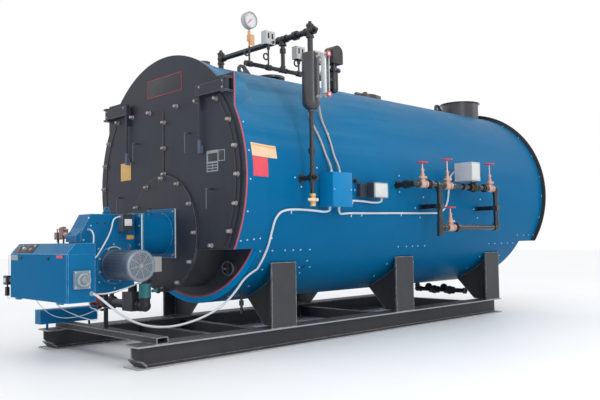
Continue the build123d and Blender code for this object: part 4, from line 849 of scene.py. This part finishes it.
# %% [markdown]
# ## Blank plates and labels
# The plates on the front are left blank: a dark name plate in a thin red frame, two rating plates
# on the right door and a yellow one on the left. Each is thin sheet with a bevelled edge. On the
# curved wrap a flat sheet would stick out, so those labels start as a grid and are laid on the
# surface point by point.


# %% Flat plates
def flat_plate(name, low, high, paper, body="boiler", bevel=0.0008):
    """A thin plate or tag between two corners."""
    bm = bmesh.new()
    slab(bm, low, high, bevel)
    piece(name, bm, label_paper[paper], body)


def frame_of(bm, low, high, width, across, bevel=0.0):
    """Four bars round the edge of an upright plate; across is the number of its level axis."""
    for axis in (across, 2):
        first_high, last_low = list(high), list(low)
        first_high[axis] = low[axis] + width
        last_low[axis] = high[axis] - width
        slab(bm, low, first_high, bevel)
        slab(bm, last_low, high, bevel)


flat_plate("name_plate", (-0.313, -0.003, 2.580), (0.313, 0.0, 2.765), "dark")
bm = bmesh.new()
frame_of(bm, (-0.313, -0.0042, 2.580), (0.313, -0.002, 2.765), 0.0035, 0)
piece("name_plate_frame", bm, bead_red)
flat_plate("rating_plate", (0.737, -0.0155, 1.716), (0.913, -0.0138, 1.918), "silver", "door_right")
flat_plate("rating_panel", (0.760, -0.0165, 1.812), (0.905, -0.0150, 1.890), "dark", "door_right")
for k in range(3):
    for m in range(2):
        x, z = 0.750 + 0.080 * m, 1.728 + 0.026 * k
        flat_plate(f"rating_field_{k}_{m}", (x, -0.0165, z), (x + 0.070, -0.0150, z + 0.016), "dark",
                   "door_right", 0.0004)
flat_plate("test_plate", (0.917, -0.0155, 1.805), (1.016, -0.0138, 1.912), "silver", "door_right")
flat_plate("test_panel", (0.925, -0.0162, 1.813), (1.008, -0.0150, 1.904), "dark", "door_right")
flat_plate("notice_plate", (-0.853, -0.0155, 1.738), (-0.641, -0.0138, 1.931), "yellow", "door_left")


# %% Labels on the curved wrap
FRONT_R, WRAP_LONG = 1.302, 0.338


def on_jacket(angle, y, lift=0.0):
    """A place on the jacket, which widens towards the front plate."""
    radius = JACKET_R + (FRONT_R - JACKET_R) * max(0.0, (SHEET_Y - y) / WRAP_LONG)
    return Vector((0, y, AXIS_Z)) + round_y(angle) * (radius + lift)


def wrap_label(name, angles, ys, paper, lift=0.0006):
    """A thin label laid on the jacket between two angles and two distances along it."""
    bm = bmesh.new()
    bmesh.ops.create_grid(bm, x_segments=10, y_segments=10, size=0.5)
    for v in bm.verts:
        v.co = on_jacket(angles[0] + (angles[1] - angles[0]) * (v.co.x + 0.5),
                         ys[0] + (ys[1] - ys[0]) * (v.co.y + 0.5), lift)
    bmesh.ops.recalc_face_normals(bm, faces=bm.faces)
    bmesh.ops.solidify(bm, geom=bm.faces, thickness=0.0009)
    piece(name, bm, label_paper[paper])


wrap_label("cream_label", (7.6, 13.2), (0.092, 0.432), "cream")
wrap_label("cream_label_strip", (12.1, 12.7), (0.110, 0.420), "orange", 0.0016)
wrap_label("rose_label", (-0.7, 7.45), (0.096, 0.304), "rose")

# %% [markdown]
# ## Red rim
# The joint between the front plate and the jacket is painted red. A narrow band spun about the
# boiler's axis fills it, from the smokebox floor up to the ears, and a strip goes on up each ear.
# The far band is a little thinner, so that the machine grows no wider.

# %% Rim band
EAR_X, EAR_LOW, EAR_TOP = 1.137, 2.280, 2.615
RIM_IN, RIM_FROM, RIM_TO = 1.2985, 0.004, 0.0155
low_turn = math.asin((FLOOR_Z - AXIS_Z) / FRONT_R)
high_turn = math.asin((EAR_LOW + 0.02 - AXIS_Z) / FRONT_R)
bm = bmesh.new()
for side, outer in ((1, 1.3036), (-1, 1.3019)):
    section = [(RIM_IN, RIM_FROM), (outer, RIM_FROM), (outer, RIM_TO), (RIM_IN, RIM_TO), (RIM_IN, RIM_FROM)]
    arc_band(bm, side, section, low_turn, high_turn, 80)
    slab(bm, (side * EAR_X - 0.0012, RIM_FROM, EAR_LOW), (side * EAR_X + 0.0012, RIM_TO, EAR_TOP))
piece("front_rim", bm, bead_red)

# %% [markdown]
# ## Screws in the jacket
# Self-tapping screws hold the lagging sheets along their seams and round each place where a pipe
# goes in. They were read off the picture as an angle round the jacket and a distance along it.
# The far side repeats them, except round the pipes and where they would reach past the front
# plate.

# %% Jacket screws
SUNK, SCREWS_WITHIN = 0.001, 1.285
seam_rows = [(-27.7, y) for y in (0.055, 0.143, 0.233, 0.320, 0.470)]
seam_rows += [(-34.3, y) for y in (0.385, 0.471, 0.541, 0.711, 0.821, 0.922, 1.056, 2.504, 2.661, 2.775,
                                   2.881, 3.019, 4.485, 4.638, 4.813, 4.975, 5.120)]
seam_rows += [(-28.4, y) for y in (5.138, 5.320, 5.464, 5.596)]
edge_rows = [(a, 0.055) for a in (36.0, 21.9, 9.5, -2.1, -15.1)]
edge_rows += [(a, 5.598) for a in (58.0, 42.9, 26.5, 11.4, -1.5, -15.7)]
saddle_rows = [(-41.1, 1.103), (-45.4, 1.202), (-45.2, 1.044), (-49.5, 1.114), (-45.4, 0.545),
               (-58.0, 0.550), (-69.0, 0.590), (-69.0, 0.547), (-69.0, 0.453), (-46.5, 2.500),
               (-57.4, 2.488), (-69.4, 2.560), (-69.0, 2.484), (-46.2, 3.006), (-44.6, 4.474),
               (-56.3, 4.460), (-44.5, 4.993)]
pipe_rows = [(-0.1, 0.653), (-4.1, 0.739), (5.0, 0.960), (4.3, 2.275), (0.2, 2.190), (-4.0, 2.277),
             (-6.1, 2.729), (-12.0, 2.594), (-17.1, 2.720), (-5.8, 3.957), (-11.8, 3.825), (-16.9, 3.954),
             (-4.2, 1.521)]
repeated = seam_rows + edge_rows + saddle_rows
mirrored = [(180 - angle, y) for angle, y in repeated if on_jacket(180 - angle, y).x > -SCREWS_WITHIN]
bm = bmesh.new()
for angle, y in repeated + pipe_rows + mirrored:
    screw(bm, on_jacket(angle, y, -SUNK), round_y(angle), 0.0095, 0.006)
piece("jacket_screws", bm, screw_white)

CAP_ANGLE, CAP_Y = -45.1, 1.108
bm = bmesh.new()
lathe(bm, [(0, 0), (0.020, 0), (0.020, 0.0025), (0.012, 0.0035), (0, 0.0035)],
      on_jacket(CAP_ANGLE, CAP_Y, -SUNK), round_y(CAP_ANGLE), 20)
piece("slot_cap", bm, knob_black)

# %% [markdown]
# ## Conduit hardware
# Every conduit goes into its box through a connector with a short taper, and small straps hold it
# to the jacket.

# %% Connectors
GLANDS = [
    ((1.320, 1.056, 1.384), DOWN, CONDUIT_R), ((1.320, 1.188, 1.384), DOWN, CONDUIT_R),
    ((1.310, 1.100, 1.720), UP, CONDUIT_R), ((1.310, 1.220, 1.720), UP, CONDUIT_R),
    ((1.292, 1.256, 1.462), BACK, CONDUIT_R), ((1.338, 1.842, 1.490), DOWN, CONDUIT_R),
    ((1.375, 3.262, 1.855), ACROSS, CONDUIT_R), ((1.338, 1.044, 2.840), ACROSS, CONDUIT_R),
    ((1.034, 1.190, 2.905), DOWN, CONDUIT_R), ((0.402, -1.022, 0.620), ALONG, CONDUIT_R),
    ((0.385, -0.988, 0.612), BACK, THIN_R), ((0.497, -0.474, 0.790), DOWN, THIN_R),
    ((0.167, -0.605, 1.305), AHEAD, THIN_R), ((0.326, -0.988, 0.925), BACK, THIN_R),
    ((0.120, -0.907, 1.186), ALONG, THIN_R), ((0.233, -0.988, 0.980), BACK, THIN_R),
    ((-0.262, -1.045, 0.547), DOWN, WIRE_R), ((0.354, -1.020, 0.547), DOWN, WIRE_R),
    ((-0.655, -1.055, 0.547), DOWN, FINE_R), ((-0.010, -0.715, 0.429), AHEAD, FINE_R),
]
bm = bmesh.new()
for at, axis, r in GLANDS:
    lathe(bm, [(0, 0), (r * 1.9, 0), (r * 1.9, 0.004), (r * 1.6, 0.005), (r * 1.6, 0.016), (r * 1.25, 0.021),
               (r * 1.12, 0.036), (0, 0.036)], at, axis, 18)
piece("conduit_connectors", bm, fitting_zinc)


# %% Straps
def strap(bm, at, out, way):
    """A half ring over the conduit with an ear and a screw on one side."""
    ear = bmesh.new()
    slab(ear, (-0.040, -0.008, -0.0145), (-0.010, 0.008, -0.0125), 0.0006)
    screw(ear, (-0.029, 0, -0.0128), UP, 0.0055, 0.004)
    hoop(ear, (0, 0, 0), BACK, 0.0128, 0.0022, 20, math.pi, math.pi)
    add_part(bm, ear, columns(out.cross(way).normalized(), way, out, at))


STRAPS = [(-14.4, 0.640, BACK), (-15.6, 1.513, BACK), (-15.1, 1.676, BACK), (-14.7, 2.355, BACK),
          (23.0, 1.042, Vector((-0.42, -0.05, 0.9))), (23.0, 1.200, Vector((-0.42, -0.03, 0.9))),
          (-28.0, 0.440, Vector((0.4, -0.1, 0.9))), (-9.4, 1.500, BACK)]
bm = bmesh.new()
for angle, y, way in STRAPS:
    out = round_y(angle)
    strap(bm, on_jacket(angle, y, CONDUIT_LIFT), out, (way - out * way.dot(out)).normalized())
piece("conduit_straps", bm, screw_white)

# %% [markdown]
# ## Knob, handholes, gauge
# A black inspection knob stands on the jacket beside the junction box. The two handholes under
# the furnace get a grey lip and a stud. The pressure gauge gets a white dial with ticks, a pointer
# and a grey rim.

# %% Side knob and handhole lips
bm = bmesh.new()
lathe(bm, [(0, 0), (0.026, 0), (0.026, 0.006), (0.017, 0.010), (0.015, 0.022), (0.023, 0.026),
           (0.023, 0.040), (0.018, 0.044), (0, 0.044)], (1.2496, 1.512, AXIS_Z), ALONG, 28)
piece("side_knob", bm, knob_black)

HANDHOLE_X, HANDHOLE_Y, HANDHOLE_Z = 0.620, 0.316, 0.790
bm = bmesh.new()
for side in (1, -1):
    centre = Vector((side * HANDHOLE_X, HANDHOLE_Y, HANDHOLE_Z))
    made = hoop(bm, (0, 0, 0), AHEAD, 0.088, 0.0045, 56)
    bmesh.ops.scale(bm, vec=(1, 1, 0.75), verts=made)
    bmesh.ops.translate(bm, vec=centre, verts=made)
    bar(bm, centre, centre + AHEAD * 0.046, 0.011)
piece("handhole_lips", bm, motor_grey)

# %% Pressure gauge face
GAUGE_AT, DIAL_R, TICKS_R = Vector((1.034, 0.300, 3.180)), 0.074, 0.064
bm = bmesh.new()
lathe(bm, [(0, 0), (DIAL_R, 0), (DIAL_R, 0.0015), (0, 0.0015)], GAUGE_AT, ALONG, 48)
piece("gauge_dial", bm, label_paper["white"])
bm = bmesh.new()
lathe(bm, [(0.073, 0), (0.0815, 0), (0.0815, 0.010), (0.078, 0.013), (DIAL_R, 0.012), (0.073, 0.006)],
      GAUGE_AT - ALONG * 0.002, ALONG, 56)
piece("gauge_rim", bm, box_grey)
bm = bmesh.new()
for k in range(31):
    length, thick = (0.012, 0.0011) if k % 5 == 0 else (0.006, 0.0007)
    way, centre = round_x(9 * k - 45), GAUGE_AT + ALONG * 0.0018
    bar(bm, centre + way * (TICKS_R - length), centre + way * TICKS_R, thick, 6)
piece("gauge_marks", bm, knob_black)
bm = bmesh.new()
point, hub = round_x(225), GAUGE_AT + ALONG * 0.004
bar(bm, hub - point * 0.020, hub + point * 0.050, 0.0024, 8)
lathe(bm, [(0, 0), (0.007, 0), (0.006, 0.006), (0, 0.006)], GAUGE_AT, ALONG, 18)
piece("gauge_pointer", bm, label_paper["signal"])

# %% [markdown]
# ## Water-level glass
# Two flat guard strips and a back strip protect the gauge glass.

# %% Glass guard
GLASS_X, GLASS_Y, GLASS_LOW, GLASS_HIGH = 1.595, 0.740, 2.430, 2.800
bm = bmesh.new()
for y in (GLASS_Y - 0.035, GLASS_Y + 0.035):
    slab(bm, (GLASS_X - 0.020, y - 0.0012, GLASS_LOW), (GLASS_X + 0.024, y + 0.0012, GLASS_HIGH), 0.0006)
slab(bm, (GLASS_X - 0.022, GLASS_Y - 0.036, GLASS_LOW),
     (GLASS_X - 0.0196, GLASS_Y + 0.036, GLASS_HIGH), 0.0006)
piece("glass_guard", bm, fitting_zinc)

# %% [markdown]
# ## Control valve and pressure controls
# The motor of the feedwater valve has a white face, and a black pilot and a short loop on its far
# side. Each pressure control shows two dark scales, a small bronze screw above them and a larger
# one below.

# %% Valve pilot and control faces
bm = bmesh.new()
lathe(bm, [(0, 0), (0.026, 0), (0.026, 0.020), (0.016, 0.026), (0.016, 0.060), (0.022, 0.064),
           (0.022, 0.086), (0, 0.090)], (1.500, 3.374, 1.835), BACK, 20)
hoop(bm, (1.500, 3.462, 1.800), ALONG, 0.040, 0.0055, 32)
bar(bm, (1.500, 3.440, 1.770), (1.500, 3.440, 1.690), 0.011)
piece("valve_pilot", bm, knob_black)
flat_plate("valve_motor_face", (1.611, 3.200, 1.745), (1.6135, 3.355, 1.925), "white")

CONTROL_FACE_X, CONTROLS = 1.049, ((0.545, 3.050), (0.960, 2.970), (1.225, 2.970))
scales, trims = bmesh.new(), bmesh.new()
for y, z in CONTROLS:
    for left in (y - 0.040, y + 0.010):
        slab(scales, (CONTROL_FACE_X - 0.001, left, z - 0.010),
             (CONTROL_FACE_X + 0.0012, left + 0.022, z + 0.045), 0.0004)
    screw(trims, (CONTROL_FACE_X, y - 0.004, z + 0.052), ALONG, 0.007, 0.004)
    screw(trims, (CONTROL_FACE_X, y - 0.004, z - 0.040), ALONG, 0.010, 0.006)
piece("control_scales", scales, knob_black)
piece("control_screws", trims, bronze)

# %% [markdown]
# ## Burner console and cabinet
# The slanted top of the cabinet carries a dark instrument strip with knobs and lamps. It is built
# flat and then laid on the slope by one matrix whose columns are the slope's own directions.

# %% Console strip
slope_up = Vector((0, 0.085, 0.094)).normalized()
slope_out = ALONG.cross(slope_up)
slope_mid = Vector((-0.510, -1.2145, 1.017))
on_slope = columns(ALONG, slope_up, slope_out, slope_mid)
bm = bmesh.new()
slab(bm, (-0.205, -0.052, -0.001), (0.200, 0.052, 0.003), 0.001)
bmesh.ops.transform(bm, matrix=on_slope, verts=bm.verts)
piece("console_strip", bm, knob_black)
LAMPS = {"white": [(-0.065, 0.004, 0.013), (0.150, 0.030, 0.008)],
         "signal": [(-0.140, -0.034, 0.006), (0.060, 0.034, 0.006), (-0.050, -0.036, 0.005)],
         "silver": [(-0.185, 0.020, 0.010), (-0.120, 0.034, 0.009), (0.010, 0.036, 0.008),
                    (0.110, -0.010, 0.014), (0.005, -0.010, 0.010), (-0.150, -0.008, 0.008)]}
for paper, places in LAMPS.items():
    bm = bmesh.new()
    for x, up_slope, r in places:
        lathe(bm, [(0, 0), (r * 1.25, 0), (r * 1.25, 0.003), (r, 0.004), (r * 0.9, 0.010), (0, 0.012)],
              (x, up_slope, 0.0028), UP, 16)
    bmesh.ops.transform(bm, matrix=on_slope, verts=bm.verts)
    piece("console_" + paper, bm, label_paper[paper])
flat_plate("panel_label_silver", (-0.774, -1.2582, 0.909), (-0.616, -1.2565, 0.960), "silver",
           "cabinet_panel")
flat_plate("panel_label_red", (0.213, -1.2582, 0.936), (0.331, -1.2565, 0.962), "signal", "cabinet_panel")

# %% [markdown]
# Two rings, a small boss and four screws finish the alarm horn on the cabinet's end, and the
# switch on the other end has a white tag.

# %% Horn and switch
HORN_AT = Vector((0.4643, -1.122, 0.747))
bm = bmesh.new()
for radius, thick in ((0.052, 0.004), (0.043, 0.0022)):
    hoop(bm, HORN_AT + ALONG * 0.001, ALONG, radius, thick, 40)
piece("horn_rings", bm, fitting_zinc)
bm = bmesh.new()
lathe(bm, [(0.020, 0), (0.030, 0), (0.030, 0.004), (0.024, 0.006), (0.020, 0.004)],
      HORN_AT + ALONG * 0.0215, ALONG, 32)
piece("horn_centre", bm, bolt_steel)
horn_places = [(0.432, y, z) for y in (-1.185, -1.059) for z in (0.682, 0.812)]
fixings("horn_screws", screw, horn_places, ALONG, 0.006, 0.004, screw_white)
flat_plate("switch_tag", (-0.838, -1.1812, 0.765), (-0.796, -1.1798, 0.815), "white")

# %% [markdown]
# A small air switch hangs on a bracket beside the cabinet, with thin wires to it from above and
# below. The levers and rods of the fuel linkage stand behind the cabinet.

# %% Air switch
bm = bmesh.new()
slab(bm, (-0.905, -1.236, 0.690), (-0.783, -1.228, 0.735), 0.001)
slab(bm, (-1.000, -1.246, 0.662), (-0.902, -1.196, 0.752), 0.004)
slab(bm, (-0.972, -1.240, 0.552), (-0.928, -1.206, 0.640), 0.005)
bar(bm, (-0.950, -1.222, 0.632), (-0.950, -1.222, 0.670), 0.008)
piece("air_switch", bm, knob_black)
flat_plate("air_switch_tag", (-0.990, -1.2475, 0.684), (-0.938, -1.2455, 0.728), "white")
bm = bmesh.new()
for start, end in (((-0.800, -1.232, 0.952), (-0.898, -1.232, 0.952)),
                   ((-0.898, -1.232, 0.954), (-0.912, -1.222, 0.750)),
                   ((-0.940, -1.222, 0.556), (-0.935, -1.222, 0.520)),
                   ((-0.935, -1.222, 0.522), (-0.780, -1.222, 0.552))):
    bar(bm, start, end, 0.003, 8)
piece("air_switch_wires", bm, cord_skin)

# %% Fuel linkage rods
bm = bmesh.new()
bar(bm, (-0.330, -0.990, 1.132), (-0.090, -0.990, 1.150), 0.010)
bar(bm, (-0.310, -1.010, 1.196), (-0.110, -1.010, 1.196), 0.007)
bar(bm, (-0.320, -1.000, 1.075), (-0.320, -1.000, 1.200), 0.006)
for x, z in ((-0.300, 1.132), (-0.225, 1.196), (-0.140, 1.146)):
    slab(bm, (x - 0.014, -1.020, z - 0.020), (x + 0.014, -0.980, z + 0.020), 0.004)
    bolt(bm, (x, -1.020, z), AHEAD, 0.008, 0.010)
lathe(bm, [(0, 0), (0.030, 0), (0.030, 0.010), (0.012, 0.014), (0, 0.014)], (-0.215, -1.000, 1.205), UP, 24)
piece("linkage_rods", bm, bronze)

# %% [markdown]
# ## Fan housing, motor and blast tube
# The motor bolts to the housing through a ring of studs. A wire guard covers its fan: eight
# spokes over six hoops, with the grey fan behind. A rim closes the cowl round it.

# %% Motor ring and fan guard
MOTOR_AT, RING_X, RING_R = Vector((0.0, -0.650, 0.853)), 0.128, 0.156
ring_places = [MOTOR_AT + ALONG * RING_X + round_x(45 * k + 22.5) * RING_R for k in range(8)]
fixings("motor_ring_bolts", bolt, ring_places, ALONG, 0.0085, 0.011)

GUARD_AT, FAN_R, SPOKE_TURN = MOTOR_AT + ALONG * 0.605, 0.116, math.degrees(0.2)
bm = bmesh.new()
lathe(bm, [(0, 0), (FAN_R, 0), (FAN_R, 0.0008), (0, 0.0008)], GUARD_AT, ALONG, 48)
piece("fan_dark", bm, motor_grey)
bm = bmesh.new()
for r in (0.028, 0.046, 0.064, 0.082, 0.100, 0.115):
    hoop(bm, GUARD_AT + ALONG * 0.003, ALONG, r, 0.0016, 48)
for k in range(8):
    way, centre = round_x(45 * k + SPOKE_TURN), GUARD_AT + ALONG * 0.004
    bar(bm, centre + way * 0.012, centre + way * FAN_R, 0.0035, 8)
lathe(bm, [(0, 0), (0.020, 0), (0.018, 0.006), (0, 0.007)], GUARD_AT, ALONG, 24)
piece("fan_guard", bm, box_grey)
bm = bmesh.new()
lathe(bm, [(0.118, 0.0), (0.1445, -0.016), (0.1455, -0.010), (0.138, 0.0015), (0.128, 0.0055),
           (0.118, 0.004)], GUARD_AT, ALONG, 56)
piece("cowl_rim", bm, cowl_grey)

# %% [markdown]
# Cooling fins run along the motor's body. One fin is a thin slab; copies turned about the shaft
# give the ribbed skin. The box on the motor's side gets a lid with four screws.

# %% Motor ribs and box lid
FINS = 28
bm = bmesh.new()
for k in range(FINS):
    fin = bmesh.new()
    slab(fin, (0.166, -0.0016, 0.130), (0.508, 0.0016, 0.1365), 0.0006)
    add_part(bm, fin, Matrix.Translation(MOTOR_AT) @ Matrix.Rotation(FULL_TURN * k / FINS, 4, "X"))
piece("motor_fins", bm, motor_grey)
bm = bmesh.new()
slab(bm, (0.4535, -0.5385, 0.7935), (0.5465, -0.4035, 0.9245), 0.002)
slab(bm, (0.5465, -0.537, 0.795), (0.5525, -0.405, 0.923), 0.002)
for y in (-0.527, -0.415):
    for z in (0.805, 0.913):
        screw(bm, (0.5525, y, z), ALONG, 0.005, 0.003)
piece("motor_box_lid", bm, box_grey)

# %% [markdown]
# The side of the housing has a few plugs, screws, an amber tag and a pale lifting arc. The servo
# on top carries a white label, bolts hold the housing's flange, and a cap closes the peephole.

# %% Housing details
SIDE_X = 0.120
bm = bmesh.new()
for y, z in ((-0.818, 1.248), (-0.740, 1.248)):
    lathe(bm, [(0, 0), (0.010, 0), (0.008, 0.0018), (0, 0.0018)], (SIDE_X, y, z), ALONG, 18)
piece("housing_plugs", bm, knob_black)
housing_places = [(SIDE_X, y, z) for y, z in (
    (-0.882, 1.223), (-0.955, 1.092), (-0.648, 1.048), (-0.640, 0.635), (-0.800, 0.700), (-0.805, 1.008),
    (-0.452, 1.296), (-0.452, 0.700), (-0.905, 1.296))]
fixings("housing_screws", screw, housing_places, ALONG, 0.008, 0.005, screw_white)
flat_plate("housing_tag", (SIDE_X, -0.512, 1.093), (SIDE_X + 0.0012, -0.436, 1.132), "orange")
flat_plate("servo_label", (0.2123, -0.587, 1.221), (0.2133, -0.509, 1.284), "white")
bm = bmesh.new()
arc = math.radians(62)
hoop(bm, (SIDE_X + 0.006, -0.650, 0.905), ALONG, 0.118, 0.0048, 24, arc, math.pi / 2 - arc / 2)
piece("lifting_arc", bm, label_paper["cream"])
flange_places = [(x, -0.430, z) for x in PLATE_BOLTS for z in (0.950, 1.040, 1.220, 1.315)]
fixings("flange_bolts", bolt, flange_places, AHEAD, 0.009, 0.010)
bm = bmesh.new()
lathe(bm, [(0, 0), (0.0215, 0), (0.0215, 0.010), (0.016, 0.014), (0, 0.014)], (0.080, -0.240, 1.386), UP, 24)
piece("peephole_cap", bm, knob_black)

# %% [markdown]
# Sheared edges of thick plate catch the light as thin pale lines: the burner's flanges and the
# beams of the skid. Each line is a painted highlight, a pale sliver laid on its edge.

# %% Painted edge highlights
bm = bmesh.new()
for low, high in (((0.2445, -0.0480, 0.902), (0.2458, -0.0345, 1.392)),
                  ((-0.245, -0.0480, 0.9008), (0.2458, -0.0345, 0.9022)),
                  ((0.2445, -0.4280, 0.915), (0.2458, -0.4150, 1.330))):
    slab(bm, low, high, 0.0003)
piece("flange_highlights", bm, label_paper["white"])
RAIL_X, RAIL_HALF, RAIL_FROM, RAIL_TO, SLIVER = 0.843, 0.117, -0.900, 4.892, 0.0008
bm = bmesh.new()
for side in (1, -1):
    x, outer = side * RAIL_X, side * (RAIL_X + RAIL_HALF)
    for low_z, high_z in ((0.0015, 0.0130), (0.1825, 0.1940)):
        slab(bm, (outer - SLIVER, RAIL_FROM, low_z), (outer + SLIVER, RAIL_TO, high_z))
        slab(bm, (x - RAIL_HALF, RAIL_FROM - SLIVER, low_z), (x + RAIL_HALF, RAIL_FROM + SLIVER, high_z))
piece("rail_highlights", bm, box_grey)

# %% [markdown]
# ## Wireway, boxes and rear plate
# The wireway and the junction box are bent sheet with a lid that overlaps by a few millimetres.
# The relay box further back has a white face in a grey frame. A ring of bolts holds the rear plate.

# %% Lids
bm = bmesh.new()
slab(bm, (-0.908, -0.963, 0.3885), (-0.782, -0.329, 0.3958), 0.0012)
for y in (-0.930, -0.646, -0.362):
    screw(bm, (-0.845, y, 0.3958), UP, 0.007, 0.004)
piece("wireway_lid", bm, burner_paint)
bm = bmesh.new()
slab(bm, (1.4385, 0.982, 1.381), (1.4445, 1.259, 1.723), 0.0015)
slab(bm, (1.262, 0.9825, 1.3815), (1.4385, 0.9855, 1.7225), 0.001)
piece("junction_lid", bm, box_paint)
junction_places = [(1.4445, y, 1.552) for y in (1.000, 1.242)]
fixings("junction_screws", screw, junction_places, ALONG, 0.007, 0.004, screw_white)
flat_plate("relay_face", (1.3995, 1.664, 1.494), (1.4025, 1.876, 1.646), "white", bevel=0.001)
bm = bmesh.new()
frame_of(bm, (1.4, 1.660, 1.490), (1.4045, 1.880, 1.650), 0.010, 1, 0.0008)
piece("relay_frame", bm, box_grey)

# %% Rear bolts
REAR_BOLTS_R, REAR_Y, REAR_LOW_Z, REAR_STEP = 1.262, 5.628, 1.02, 9.2
rear_ring = [Vector((0, REAR_Y, AXIS_Z)) + round_y(REAR_STEP * k - 22) * REAR_BOLTS_R for k in range(-5, 24)]
fixings("rear_bolts", bolt, [at for at in rear_ring if at.z > REAR_LOW_Z], BACK, 0.015, 0.0125)

# %% [markdown]
# The dressed machine must be no larger than its bare steelwork.
